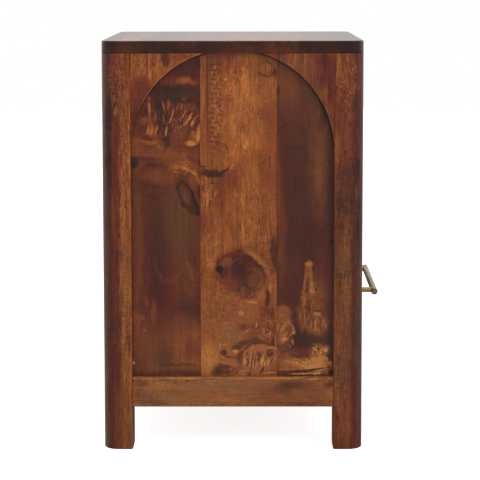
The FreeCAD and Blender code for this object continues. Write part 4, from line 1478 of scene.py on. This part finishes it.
    # The dark under the flame, the light band on the rail and the small black knots
    front_foot: Figure = (
        blot((-90, 161), (17, 12), UMBER, 0.75),
        blot((-78, 190), (4, 16), UMBER, 0.5),
        blot((-116, 161), (14, 5), UMBER, 0.6),
        blot((-86, 144), (16, 7), RUSSET, 0.6),
        blot((-62, 134), (17, 18), CHESTNUT, 0.85),
        blot((-60, 148), (9, 6), UMBER, 0.4),
        blot((-58, 132), (10, 7), COPPER, 0.6),
        curls((-60, 134), (14, 16), 24, 24, 0.36, ROSE, 0.5),
        blot((-128, 165), (6, 20), UMBER, 0.7),
        blot((-114, 142), (14, 9), TAN, 0.65),
        curls((-114, 147), (14, 9), 16, 14, 0.42, SAND, 0.85),
        curls((-118, 150), (13, 8), 15, 14, 0.34, UMBER, 0.8),
        dash((-122, 144), (-124, 149), 2.6, STRAW, 0.8),
        blot((-92, 127), (33, 9), HONEY, 0.9, soft=0.3),
        strokes((-94, 128), (28, 8), 80, 22, 5, 0.46, SAND, 0.65),
        blot((-114, 133), (12, 5), SAND, 0.6),
        dash((-70, 137), (-97, 136), 2, WINE, 0.6),
        blot((-64, 121), (14, 5), COPPER, 0.6),
        blot((-112, 122), (14, 7), SAND, 0.8),
        blot((-126, 120), (8, 10), HONEY, 0.6),
        dash((-52, 117), (-84, 118), 2, ROSE, 0.7),
        dash((-84, 115), (-122, 120), 3, UMBER, 0.9),
        dash((-88, 114.6), (-106, 116.4), 1.6, UMBER, 0.7),
        dash((-68, 110.5), (-118, 113), 2.4, SAND, 0.8),
        blot((-110, 112), (5, 1.6), STRAW, 0.9, ragged=0.3),
        blot((-131, 113), (5, 4.4), SOOT_AND_SHADE, 0.95, soft=0.3, ragged=0.15),
        blot((-131, 138), (6, 9), UMBER, 0.85),
        blot((-129, 127), (2.4, 2.2), SAND, 0.6, ragged=0.15),
        dash((-129, 118), (-125, 124), 3, SOOT_AND_SHADE, 0.75),
    )

    # Last corrections of tone on the front board, its joint with the middle one, and painted shadow that
    # widens the dark line under the arch's front end
    front_tones: Figure = (
        wash((-90, 130), (80, 130), (1.08, 1.24, 1.26)),
        wash((-120, 350), (22, 170), (1.02, 1.24, 1.2)),
        wash((-90, 440), (50, 110), (1.06, 1.12, 1.12)),
        wash((-114, 154), (12, 24), (1.12, 0.96, 0.9)),
        wash((-66, 252), (8, 24), (0.97, 1.1, 1.06)),
        wash((-108, 275), (14, 24), (0.88, 0.9, 0.96)),
        wash((-76, 121), (15, 8), (1.34, 1.36, 1.3)),
        wash((-90, 117), (44, 11), (1.0, 1.03, 1.22)),
        wash((-64, 194), (9, 12), (0.8, 0.8, 0.8)),
        wash((-116, 488), (8, 9), (1.22, 1.02, 0.98)),
        wash((-84, 552), (10, 10), (0.92, 1.08, 1.02)),
        blot((-52, 385), (3, 62), COPPER, 0.4, ragged=0.3),
        # Painted shadow widening the arch's dark line
        blot((-120, 501), (5, 22), SOOT_AND_SHADE, 0.8, lean=24, ragged=0.15),
    )

    # The golden corner piece over the back end of the arch, with a painted highlight along the arch's edge
    back_spandrel: Figure = (
        blot((140, 562), (26, 22), COPPER, 0.8),
        strokes((136, 562), (24, 18), 0, 18, 4, 0.5, GOLD, 0.75),
        blot((146, 500), (26, 46), RUSSET, 0.9, soft=0.2),
        blot((150, 480), (12, 30), WINE, 0.5),
        strokes((153, 480), (8, 34), 4, 9, 2.4, 0.4, UMBER, 0.7),
        blot((111, 573), (8, 12), WINE, 0.85, soft=0.3),
        blot((85, 577), (20, 5), RUSSET, 0.6),
        blot((117, 565), (3, 6), HONEY, 0.8),
        # Painted highlight where the light catches the arch's edge
        arc(ARCH_MIDDLE, ARCH_HIGHLIGHT_RADII, 38, 1.1, 19, GOLD, 0.7, soft=0.1, ragged=0.0),
    )

    # The browner corner piece over the front end of the arch, with a painted highlight along the arch's edge
    front_spandrel: Figure = (
        blot((-78, 562), (28, 20), TAN, 0.6),
        blot((-75, 572), (26, 9), COPPER, 0.4),
        blot((-120, 560), (15, 24), WINE, 0.7),
        blot((-128, 530), (5, 22), WINE, 0.8),
        blot((-114, 520), (6, 12), COPPER, 0.5, lean=-30),
        blot((-100, 556), (16, 12), CHESTNUT, 0.5),
        wash((-110, 530), (16, 16), (0.92, 1.12, 1.05)),
        # Painted highlight along the arch's edge
        arc(ARCH_MIDDLE, ARCH_HIGHLIGHT_RADII, -45, 1.6, 22, COPPER, 0.6, soft=0.1, ragged=0.0),
    )

    # The back leg: gold beside the panel, red in the middle, nearly black by the rounded corner, where
    # darker stain and painted shade of the turning corner lie together
    back_leg: Figure = (
        band(168, 8, 5, HONEY, 0.7, broken=0.4),
        band(186, 6, 6, RUSSET, 0.85),
        # Darker stain and painted shade towards the rounded corner
        band(194, 2.6, 4, UMBER, 0.9, broken=0.3),
        band(201, 2, 3, OLIVE, 0.8),
        blot((193, 495), (5, 26), SOOT_AND_SHADE, 0.7),
        blot((192, 420), (5, 36), SOOT_AND_SHADE, 0.6),
        blot((190, 250), (6, 90), WINE, 0.6),
        blot((190, 110), (8, 60), WINE, 0.7),
        blot((170, 560), (14, 30), RUSSET, 0.55),
        strokes((180, 540), (12, 40), -14, 20, 2, 0.4, GOLD, 0.5),
        strokes((181, 515), (9, 34), -4, 9, 2.4, 0.34, SOOT_AND_SHADE, 0.75),
        dash((184, 492), (183, 505), 5, GOLD, 0.8),
        strokes((169, 330), (9, 200), 0, 30, 2.2, 0.45, GOLD, 0.6),
        strokes((174, 300), (12, 240), 0, 12, 2, 0.3, WINE, 0.5),
        blot((172, 40), (12, 50), CHESTNUT, 0.5),
        blot((170, 288), (8, 40), HONEY, 0.6),
        wash((180, 110), (40, 190), (0.98, 1.18, 1.2)),
        wash((174, 540), (8, 28), (0.84, 0.85, 0.86)),
        wash((188, 290), (10, 50), (1.14, 1.1, 1.05)),
        wash((173, 165), (8, 26), (0.84, 0.86, 0.86)),
        # Painted shade in the groove between the leg and the panel
        band(161.0, 0.4, 0.8, SOOT_AND_SHADE, 0.75, ragged=0.0),
    )

    # The front leg: brown with streaks of gold, and dark by the rounded corner, where darker stain and
    # painted shade of the turning corner lie together
    front_leg: Figure = (
        band(-150, 30, 10, RUSSET, 0.35),
        # Darker stain and painted shade towards the rounded corner
        band(-170, 7, 8, WINE, 0.75),
        band(-176, 2, 4, UMBER, 0.8, broken=0.2),
        blot((-139, 562), (4, 18), HONEY, 0.8, ragged=0.15),
        strokes((-150, 540), (14, 40), 12, 12, 2.2, 0.4, GOLD, 0.55),
        blot((-164, 512), (4, 12), UMBER, 0.7),
        blot((-150, 400), (14, 36), WINE, 0.55),
        dash((-168, 398), (-167, 430), 4, SOOT_AND_SHADE, 0.9),
        dash((-164, 400), (-158, 425), 2.4, SOOT_AND_SHADE, 0.7),
        dash((-170, 352), (-170, 376), 4, SOOT_AND_SHADE, 0.7),
        dash((-165, 370), (-164, 392), 3.4, COPPER, 0.8),
        blot((-171, 330), (5, 30), SOOT_AND_SHADE, 0.5),
        blot((-148, 345), (12, 46), RUSSET, 0.6),
        strokes((-152, 250), (9, 110), 0, 36, 3.4, 0.46, HONEY, 0.55),
        blot((-149, 280), (5, 46), COPPER, 0.5),
        blot((-164, 120), (6, 60), WINE, 0.6),
        strokes((-146, 90), (9, 90), 0, 14, 2.4, 0.4, HONEY, 0.45),
        strokes((-152, 470), (12, 80), 0, 7, 2.2, 0.3, UMBER, 0.5),
        blot((-148, 368), (13, 18), UMBER, 0.5),
        blot((-164, 170), (8, 40), OLIVE, 0.6),
        blot((-148, 120), (12, 46), OLIVE, 0.35, soft=0.7),
        blot((-165, 460), (7, 70), WINE, 0.35, soft=0.7),
        blot((-165, 290), (7, 30), UMBER, 0.4, soft=0.7),
        blot((-137, 445), (5, 20), HONEY, 0.5),
        wash((-150, 250), (60, 260), (0.95, 1.16, 1.2)),
        wash((-150, 335), (26, 80), (0.84, 0.92, 0.95)),
        wash((-134, 255), (6, 60), (0.98, 1.1, 1.06)),
        wash((-148, 435), (14, 40), (1.12, 1.1, 1.08)),
        wash((-146, 95), (16, 50), (1.06, 1.1, 1.18)),
        wash((-162, 172), (12, 20), (0.8, 0.8, 0.8)),
        wash((-168, 470), (8, 90), (1.1, 0.98, 0.96)),
        # Painted shade in the groove between the leg and the panel
        band(-132.7, 0.4, 0.8, SOOT_AND_SHADE, 0.3, ragged=0.0),
    )

    # The side's bottom rail, darker towards the front leg, with a painted highlight along its top edge
    rail: Figure = (
        blot((120, 98), (18, 3.4), GOLD, 0.75),
        blot((150, 90), (12, 12), RUSSET, 0.5),
        blot((95, 88), (22, 4), RUSSET, 0.5),
        blot((40, 98), (40, 4), HONEY, 0.5),
        blot((20, 84), (130, 20), TAN, 0.6, calm=0.6),
        blot((-72, 80), (50, 22), CHESTNUT, 0.6, soft=0.25),
        blot((-74, 94), (22, 9), UMBER, 0.6, soft=0.7),
        blot((-128, 98), (8, 5), WINE, 0.6),
        blot((134, 70), (22, 9), UMBER, 0.4, soft=0.7),
        blot((20, 73), (22, 6), GOLD, 0.4, soft=0.7),
        blot((-80, 86), (10, 3), COPPER, 0.6),
        wash((14, 86), (170, 40), (1.06, 1.16, 1.18)),
        # Painted highlight: a lighter, greyer strip along the rail's top
        wash((-10, 104), (150, 8), (1.18, 1.32, 1.42)),
        wash((72, 90), (42, 9), (1.14, 1.08, 1.06)),
        wash((-86, 88), (12, 9), (1.26, 1.3, 1.3)),
        # Painted highlight on the rail's top edge
        band(106.8, 1.0, 1.4, STRAW, 0.5, axis=2, broken=0.6),
    )

    # The dark end grain of the top, nearly black by both rounded corners, where darker stain and painted
    # shade of the turning corners lie together
    slab_end: Figure = (
        band(-20, 50, 34, COPPER, 0.45),
        band(118, 16, 24, UMBER, 0.5),
        band(-130, 30, 24, UMBER, 0.6),
        # Darker stain and painted shade on the rounded corners
        band(-166, 16, 14, SOOT_AND_SHADE, 0.5),
        band(196, 10, 14, SOOT_AND_SHADE, 0.7),
    )

    def back_board(self) -> Figure:
        """Returns the board by the back leg: a burl under the arch, and a big dark oval with a knot."""
        burl = self.burl_ground + self.burl_smoke + self.burl_gold
        return burl + self.oval + self.knot + self.board_foot + self.back_tones + self.arch_shadow

    def middle_board(self) -> Figure:
        """Returns the golden middle board: a dark eye half way down, and a burl by the rail."""
        upper = self.ladder + self.ladder_steps() + self.golden_flow + self.small_swirls
        return upper + self.eye + self.speckle + self.round_burl + self.middle_tones + self.arch_shadow

    def front_board(self) -> Figure:
        """Returns the dark board by the front leg, with a golden flame at its foot."""
        return self.calm_dark + self.flame + self.front_foot + self.front_tones + self.arch_shadow

    def ladder_steps(self) -> Figure:
        """Makes the rungs and flecks of the ladder by the back joint.

        Returns:
            The dark rungs from the lowest up, and then the golden flecks between them.
        """
        steps = []
        for i in range(self.rungs):
            z = self.ladder_foot + self.rung_rise * i
            steps.append(dash((49 - i % 3, z), (34 + 2 * (i % 4), z + 1), 2.6, WINE, 0.6))
        for i in range(self.flecks):
            y = 44 - 4 * (i % 3)
            z = self.ladder_foot + 2 + self.fleck_rise * i
            steps.append(dash((y, z), (y - 1, z + 6), 3, GOLD, 0.7))
        return tuple(steps)


@dataclass
class Chance:
    """Draws the figure of a board that the photograph doesn't show, by seeded chance."""

    node: str
    run: Run
    seed: int
    draw: random.Random = field(init=False)
    middle: Spot = field(init=False)
    reach: Spot = field(init=False)

    def __post_init__(self) -> None:
        """Measures the board's face: its middle and half sizes, across the grain and along it."""
        self.draw = random.Random(self.seed)
        low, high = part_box(self.node)
        order, _ = self.run.value
        across, along = order[0], order[2]
        self.middle = ((low + high)[across] / 2 / MM, (low + high)[along] / 2 / MM)
        self.reach = ((high - low)[across] / 2 / MM, (high - low)[along] / 2 / MM)

    def level(self) -> bool:
        """Tells whether the grain runs along the face's first axis."""
        order, face_axes = self.run.value
        return order[2] == face_axes[0]

    def spot(self, across: float, along: float) -> Spot:
        """Turns a place across and along the grain into a place on the board's face."""
        return (along, across) if self.level() else (across, along)

    def lean(self, degrees: float) -> float:
        """Turns a lean from the grain into a lean from the face's second axis."""
        return 90 - degrees if self.level() else degrees

    def place(self, margin: float = 0.85) -> Spot:
        """Draws a place on the board.

        Args:
            margin: the share of the board's half sizes that it stays within.

        Returns:
            The place, across and along the grain.
        """
        return (
            self.middle[0] + self.draw.uniform(-margin, margin) * self.reach[0],
            self.middle[1] + self.draw.uniform(-margin, margin) * self.reach[1],
        )

    def patch(self, narrow: float, wide: float, short: float, tall: float) -> Spot:
        """Draws the half sizes of a patch on the board's face.

        Args:
            narrow: the least share of the board's half width, across the grain.
            wide: the largest one.
            short: the least share of its half length, along the grain.
            tall: the largest one.

        Returns:
            The half sizes.
        """
        across = self.draw.uniform(narrow, wide) * self.reach[0]
        return self.spot(across, self.draw.uniform(short, tall) * self.reach[1])

    def clouds(self, count: int, stains: tuple[Stain, ...], amount: float = 0.6) -> list[Mark]:
        """Draws large soft changes of tone.

        Args:
            count: how many.
            stains: what their colours are drawn from.
            amount: how much they cover, before chance varies it.

        Returns:
            The marks.
        """
        marks = []
        for _ in range(count):
            across, along = self.place(0.95)
            size = self.patch(0.25, 0.6, 0.1, 0.3)
            stain = self.draw.choice(stains)
            strength = amount * self.draw.uniform(0.7, 1.2)
            marks.append(blot(self.spot(across, along), size, stain, strength, soft=0.65, calm=0.3))
        return marks

    def flecks(self, count: int, stain: Stain, amount: float = 0.65) -> list[Mark]:
        """Draws patches of short strokes along the grain.

        Args:
            count: how many patches.
            stain: their colour.
            amount: how much they cover.

        Returns:
            The marks.
        """
        marks = []
        for _ in range(count):
            across, along = self.place()
            size = self.patch(0.3, 0.7, 0.12, 0.3)
            lean = self.lean(self.draw.uniform(-14, 14))
            long = self.draw.uniform(9, 20)
            broad = self.draw.uniform(2.2, 3.4)
            marks.append(strokes(self.spot(across, along), size, lean, long, broad, 0.42, stain, amount))
        return marks

    def eye(self, size: float) -> list[Mark]:
        """Draws a dark eye with gold that runs round it.

        Args:
            size: its radius, less on a narrow board.

        Returns:
            The marks.
        """
        across, along = self.place(0.6)
        size = min(size, self.reach[0] * 0.62)
        spot = self.spot(across, along)
        outer = self.spot(size * 1.15, size * 1.5)
        ring = self.spot(size * 1.3, size * 1.75)
        heart = self.spot(size * 0.45, size * 0.55)
        turn = self.draw.uniform(-30, 30)
        return [
            blot(spot, outer, RUSSET, 0.85, lean=turn, soft=0.35),
            blot(spot, self.spot(size * 0.85, size), WINE, 0.8, lean=turn),
            blot(spot, heart, SOOT_AND_SHADE, 0.8, lean=turn, soft=0.4),
            arc(spot, ring, self.draw.uniform(0, 360), 3.4, 70, GOLD, 0.75),
            arc(spot, outer, self.draw.uniform(0, 360), 3.4, 60, UMBER, 0.8),
        ]

    def burl(self, size: float) -> list[Mark]:
        """Draws a smoky burl with golden curls and a fan of golden dashes.

        Args:
            size: its radius, less on a narrow board.

        Returns:
            The marks.
        """
        across, along = self.place(0.6)
        spot = self.spot(across, along)
        size = min(size, self.reach[0] * 0.8)
        marks: list[Mark] = [
            blot(spot, (size * 1.2, size * 1.2), CHESTNUT, 0.7),
            blot(spot, self.spot(size, size * 0.55), UMBER, 0.8),
            curls(spot, (size * 1.1, size * 1.1), 11, 8, 0.4, GOLD, 0.75, self.lean(0)),
        ]
        heading = self.draw.uniform(0, 2 * math.pi)
        for i in range(9):
            angle = heading + (i - 4) * 0.24
            near = size * self.draw.uniform(0.5, 0.8)
            far = near + size * self.draw.uniform(0.25, 0.6)
            start = self.spot(across + near * math.cos(angle), along + near * math.sin(angle))
            end = self.spot(across + far * math.cos(angle), along + far * math.sin(angle))
            stain = self.draw.choice((GOLD, HONEY, UMBER))
            marks.append(dash(start, end, self.draw.uniform(2.6, 4.4), stain, 0.8))
        return marks

    def figure(self, eyes: int, burls: int) -> Figure:
        """Draws a whole board: clouds, flecks of gold and wine, eyes and burls.

        Args:
            eyes: how many dark eyes it has.
            burls: how many burls it has.

        Returns:
            The marks.
        """
        dark = (WINE, UMBER, RUSSET)
        light = (HONEY, COPPER, CHESTNUT)
        marks = self.clouds(4, dark) + self.clouds(4, light)
        marks += self.flecks(3, GOLD) + self.flecks(1, WINE, 0.5)
        for _ in range(eyes):
            marks += self.eye(self.draw.uniform(9, 22))
        for _ in range(burls):
            marks += self.burl(self.draw.uniform(16, 30))
        return tuple(marks)

    def board(self, eyes: int = 0, burls: int = 0, ground: Ground | None = None,
              extra: Figure = ()) -> Board:
        """Makes the board with its drawn figure.

        Args:
            eyes: how many dark eyes it has.
            burls: how many burls it has.
            ground: its two tones, drawn when not given.
            extra: marks laid over the drawn ones.

        Returns:
            The board.
        """
        tones = ground or self.draw.choice(((RUSSET, COPPER), (WINE, OLIVE), (CHESTNUT, HONEY)))
        return Board(self.node, self.run, self.seed, tones, figure=self.figure(eyes, burls) + extra)


PANEL = WoodFinish(edge_width=0.8, edge_amount=0.12)
LEG = WoodFinish(edge_width=1.6, edge_stain=COPPER, edge_amount=0.35)
TOP = WoodFinish(end_stain=SOOT_AND_SHADE, end_amount=0.86, end_patches=0.3, edge_width=1.2, edge_amount=0.0,
                 shine=0.22, coat=0.12, end_coat=0.0, coat_roughness=0.1, roughness=0.3)
FACE = WoodFinish(edge_width=2.0, edge_stain=UMBER, edge_amount=0.5)
INNER = WoodFinish(rings=0.05, bands=0.35, streaks=0.55, fibres=0.5, pores=0.25, mottle=0.25,
                   end_stain=BARE_DARK, end_amount=0.6, edge_stain=BARE_DARK, edge_amount=0.4,
                   edge_width=1.4, roughness=0.52, shine=0.3, coat=0.05, coat_roughness=0.3)


@dataclass(frozen=True)
class MetalFinish:
    """Old metal: its bright and its tarnished tone, its dark specks, and its dark round ends."""

    bright: Colour
    tarnish: Colour
    spots: Colour
    rubbed: float
    roughness: float
    speckled: float = 0.55
    end_tarnish: float = 0.0
    cloud_cells: float = 60.0
    speck_cells: float = 420.0
    edge_width: float = 2.4
    relief: float = 0.00004

    def dress(self, effects: Effects, node: str) -> None:
        """Gives one metal piece its own material.

        Args:
            effects: the shared node groups.
            node: the CAD node.
        """
        wires = Dressing("metal " + node)
        place = wires.where["Object"]
        cloud = wires.noise(wires.scaled(place, self.cloud_cells), 3.0, 0.6)
        fine = wires.noise(wires.scaled(place, self.speck_cells), 3.0, 0.65)
        low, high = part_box(node)
        width = self.edge_width * MM
        edge = wires.group(effects.edges, Place=place, Low=low, High=high, Width=width).outputs["Edge"]
        worn = wires.ease(wires.math("MULTIPLY_ADD", edge, 0.25, cloud), 0.42, 0.62)
        colour = wires.tint(wires.math("MULTIPLY", worn, self.rubbed), self.tarnish, self.bright)
        if self.end_tarnish:
            colour = wires.tint(self.rim(wires, low, high), colour, self.spots)
        specks = wires.ease(fine, 0.56, 0.68)
        wires.set(
            Base_Color=wires.tint(wires.math("MULTIPLY", specks, self.speckled), colour, self.spots),
            Metallic=wires.math("MULTIPLY_ADD", specks, -0.35, 1.0),
            Roughness=wires.math("MULTIPLY_ADD", fine, 0.3, self.roughness),
            Normal=wires.bump(fine, self.relief),
        )
        wires.onto(node)

    def rim(self, wires: Dressing, low: Vector, high: Vector) -> Socket:
        """Finds how dark the tarnish lies on the round ends of a bar along X.

        Args:
            wires: the material.
            low: the lowest corner of the bar's box.
            high: its highest corner.

        Returns:
            A share that is largest by the rims.
        """
        end = wires.end(0)
        radius = (high - low)[1] / 2
        off = wires.vector("SUBTRACT", wires.where["Object"], (low + high) / 2)
        reach = wires.length(wires.vector("MULTIPLY", off, (0.0, 1 / radius, 1 / radius)))
        deep = wires.blend(wires.ease(reach, 0.4, 0.85), self.end_tarnish * 0.55, self.end_tarnish)
        return wires.math("MULTIPLY", end, deep)


BRASS = MetalFinish(srgb(176, 164, 128), srgb(142, 126, 88), srgb(70, 54, 32), 0.7, 0.24, 0.22, 0.9)
# A brighter copy of the handle's brass for its pillars, which paints in the golden highlight that they catch
PILLAR_BRASS = MetalFinish(srgb(222, 194, 130), srgb(158, 132, 78), srgb(70, 54, 32), 0.8, 0.2, 0.25)
STEEL = MetalFinish(srgb(196, 194, 190), srgb(128, 126, 122), srgb(80, 76, 72), 0.8, 0.22)


@dataclass
class Carcass:
    """Everything wooden that doesn't move."""

    effects: Effects
    seen: SeenSide = field(default_factory=SeenSide)

    def build(self) -> None:
        """Dresses every board of the carcass."""
        self.seen_side()
        self.other_side()
        self.top()
        self.front_and_back()
        self.inside()

    def seen_side(self) -> None:
        """Dresses the side that the photograph shows."""
        up, seen = Run.SIDE_UPRIGHT, self.seen
        warm, red = (COPPER, HONEY), (WINE, RUSSET)
        dark, brown = (WINE, OLIVE), (RUSSET, CHESTNUT)
        for finish, board in (
            (PANEL, Board("left_side_board_back", up, 61, red, grain=0.55, figure=seen.back_board())),
            (PANEL, Board("left_side_board_middle", up, 62, warm, grain=1.1, figure=seen.middle_board())),
            (PANEL, Board("left_side_board_front", up, 63, dark, grain=0.6, figure=seen.front_board())),
            (LEG, Board("left_back_arch_corner", up, 64, warm, grain=0.8, figure=seen.back_spandrel)),
            (LEG, Board("left_front_arch_corner", up, 65, brown, figure=seen.front_spandrel)),
            (LEG, Board("left_back_leg", up, 66, figure=seen.back_leg)),
            (LEG, Board("left_front_leg", up, 67, figure=seen.front_leg)),
            (LEG, Board("left_bottom_rail", Run.SIDE_LEVEL, 68, (COPPER, TAN), figure=seen.rail)),
        ):
            finish.dress(self.effects, board)

    def other_side(self) -> None:
        """Dresses the opposite side, with a figure of its own."""
        for i, (name, eyes, burls) in enumerate((("front", 1, 0), ("middle", 1, 1), ("back", 1, 1))):
            board = Chance("right_side_board_" + name, Run.SIDE_UPRIGHT, 71 + i).board(
                eyes, burls, extra=self.seen.arch_shadow
            )
            PANEL.dress(self.effects, board)
        for i, name in enumerate(("right_front_arch_corner", "right_back_arch_corner")):
            LEG.dress(self.effects, Chance(name, Run.SIDE_UPRIGHT, 75 + i).board())
        for i, name in enumerate(("right_front_leg", "right_back_leg")):
            LEG.dress(self.effects, Chance(name, Run.SIDE_UPRIGHT, 77 + i).board(eyes=1))
        LEG.dress(self.effects, Chance("right_bottom_rail", Run.SIDE_LEVEL, 79).board())

    def top(self) -> None:
        """Dresses the boards of the top slab."""
        for i, (eyes, burls) in enumerate(((1, 0), (0, 1), (1, 1), (0, 0))):
            board = Chance("top_board_%d" % (i + 1), Run.FLAT_SIDEWAYS, 11 + i).board(
                eyes, burls, ground=(RUSSET, CHESTNUT), extra=self.seen.slab_end
            )
            TOP.dress(self.effects, board)

    def front_and_back(self) -> None:
        """Dresses the back panel, the shelf and both cross rails."""
        for i, (eyes, burls) in enumerate(((0, 1), (1, 0), (1, 0), (0, 1))):
            chance = Chance("back_board_%d" % (i + 1), Run.FRONT_UPRIGHT, 31 + i)
            FACE.dress(self.effects, chance.board(eyes, burls))
        for i in range(3):
            chance = Chance("shelf_board_%d" % (i + 1), Run.FLAT_SIDEWAYS, 21 + i)
            FACE.dress(self.effects, chance.board(eyes=i % 2))
        for i, name in enumerate(("front_bottom_rail", "back_bottom_rail")):
            LEG.dress(self.effects, Chance(name, Run.FRONT_LEVEL, 91 + i).board())

    def inside(self) -> None:
        """Dresses the plain inner parts."""
        bare = (BARE_DARK, BARE)
        cleats = ("shelf_cleat", "top_cleat")
        slides = ("drawer_runner", "drawer_guide", "drawer_stop")
        for side in ("left", "right"):
            for i, name in enumerate(cleats + slides):
                run = Run.SIDE_LEVEL if name in cleats else Run.FLAT_DEEP
                INNER.dress(self.effects, Board(side + "_" + name, run, 101 + i, bare, grain=0.8))
        INNER.dress(self.effects, Board("dust_board", Run.FLAT_SIDEWAYS, 111, bare, grain=0.8))


@dataclass
class Drawer:
    """The sliding drawer: a figured front, and a body of pale wood."""

    effects: Effects

    def build(self) -> None:
        """Dresses every board of the drawer."""
        front = Chance("drawer_front", Run.FRONT_LEVEL, 93)
        FACE.dress(self.effects, front.board(eyes=2, burls=1, ground=(CHESTNUT, HONEY)))
        bare = (BARE, BARE_LIGHT)
        for name, run, seed in (
            ("left_drawer_side", Run.SIDE_LEVEL, 94),
            ("right_drawer_side", Run.SIDE_LEVEL, 95),
            ("drawer_back", Run.FRONT_LEVEL, 96),
            ("drawer_bottom", Run.FLAT_SIDEWAYS, 97),
        ):
            INNER.dress(self.effects, Board(name, run, seed, bare, grain=0.8))


@dataclass
class Hardware:
    """The brass handle, and the steel screws that hold the nightstand together."""

    effects: Effects

    def build(self) -> None:
        """Dresses the handle and the screws."""
        BRASS.dress(self.effects, "handle_bar")
        for side in ("left", "right"):
            # The pillars get the brighter brass with its painted highlight
            PILLAR_BRASS.dress(self.effects, side + "_handle_pillar")
        for name in ("handle_screws", "top_screws", "shelf_screws", "runner_screws"):
            STEEL.dress(self.effects, name)


@dataclass
class Studio:
    """Floor, world, lamps and camera."""

    floor_size: float = 14.0
    floor_glow: float = 0.85
    lit: Point = (0.0, 0.0, 0.3)
    eye: Point = (-2.9948, -0.0082, 0.6964)
    pitch: float = 6.488
    heading: float = -89.758
    roll: float = -0.065
    focal_length: float = 144.22
    sensor: float = 36.0
    shift: float = -0.1

    def build(self) -> None:
        """Makes the whole studio."""
        self.floor()
        self.world()
        self.lamp("key_lamp", at=(-2.2, -1.9, 2.1), size=1.5, watts=24.0)
        self.lamp("fill_lamp", at=(-1.4, 2.4, 1.6), size=2.4, watts=9.0)
        self.camera()

    def floor(self) -> None:
        """Makes the pale floor, which keeps only the object's shadow."""
        shape = bmesh.new()
        bmesh.ops.create_grid(shape, x_segments=1, y_segments=1, size=self.floor_size / 2)
        mesh = bpy.data.meshes.new("floor")
        shape.to_mesh(mesh)
        shape.free()
        floor = bpy.data.objects.new("floor", mesh)
        bpy.context.scene.collection.objects.link(floor)
        material = bpy.data.materials.new("pale floor")
        material.use_nodes = True
        wires = Wiring(material.node_tree)
        shader = material.node_tree.nodes["Principled BSDF"]
        output = material.node_tree.nodes["Material Output"]
        wires.feed(shader.inputs["Base Color"], (0.86, 0.86, 0.86, 1.0))
        wires.feed(shader.inputs["Roughness"], 0.9)
        wires.feed(shader.inputs["Specular IOR Level"], 0.0)
        path = wires.node("ShaderNodeLightPath").outputs
        strength = wires.math("MULTIPLY", path["Is Camera Ray"], self.floor_glow)
        glow = wires.node("ShaderNodeEmission", {"Strength": strength})
        both = wires.node("ShaderNodeAddShader", {0: shader.outputs["BSDF"], 1: glow.outputs["Emission"]})
        wires.feed(output.inputs["Surface"], both.outputs["Shader"])
        mesh.materials.append(material)

    def world(self) -> None:
        """Makes the plain white surroundings."""
        world = bpy.data.worlds.new("studio")
        bpy.context.scene.world = world
        world.use_nodes = True
        wires = Wiring(world.node_tree)
        background = world.node_tree.nodes["Background"]
        path = wires.node("ShaderNodeLightPath").outputs
        seen = wires.math("MAXIMUM", path["Is Camera Ray"], path["Is Glossy Ray"])
        seen = wires.math("MAXIMUM", seen, path["Is Transmission Ray"])
        wires.feed(background.inputs["Color"], WHITE)
        wires.feed(background.inputs["Strength"], wires.blend(seen, 0.6, 1.0))

    def lamp(self, name: str, at: Point, size: float, watts: float) -> None:
        """Hangs one square lamp that points at the object's middle.

        Args:
            name: its name.
            at: where it hangs.
            size: how wide it is.
            watts: how strong it is.
        """
        data = bpy.data.lights.new(name, "AREA")
        data.shape = "SQUARE"
        data.size = size
        data.energy = watts
        lamp = bpy.data.objects.new(name, data)
        lamp.location = at
        aim = Vector(self.lit) - Vector(at)
        lamp.rotation_euler = aim.to_track_quat("-Z", "Y").to_euler()
        bpy.context.scene.collection.objects.link(lamp)

    def camera(self) -> None:
        """Sets the camera where the photograph was taken from."""
        data = bpy.data.cameras.new("camera")
        data.lens = self.focal_length
        data.sensor_width = self.sensor
        data.shift_y = self.shift
        camera = bpy.data.objects.new("camera", data)
        turn = Matrix.Rotation(math.radians(self.heading), 4, "Z")
        tilt = Matrix.Rotation(math.radians(90 - self.pitch), 4, "X")
        roll = Matrix.Rotation(math.radians(self.roll), 4, "Z")
        camera.matrix_world = Matrix.Translation(self.eye) @ turn @ tilt @ roll
        bpy.context.scene.collection.objects.link(camera)
        bpy.context.scene.camera = camera
        bpy.context.scene.view_settings.view_transform = "Standard"


def main() -> None:
    """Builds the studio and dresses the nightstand."""
    logging.basicConfig(level=logging.INFO, format="%(message)s")
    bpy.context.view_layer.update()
    Studio().build()
    effects = Effects()
    Carcass(effects).build()
    Drawer(effects).build()
    Hardware(effects).build()


if __name__ == "__main__":
    main()
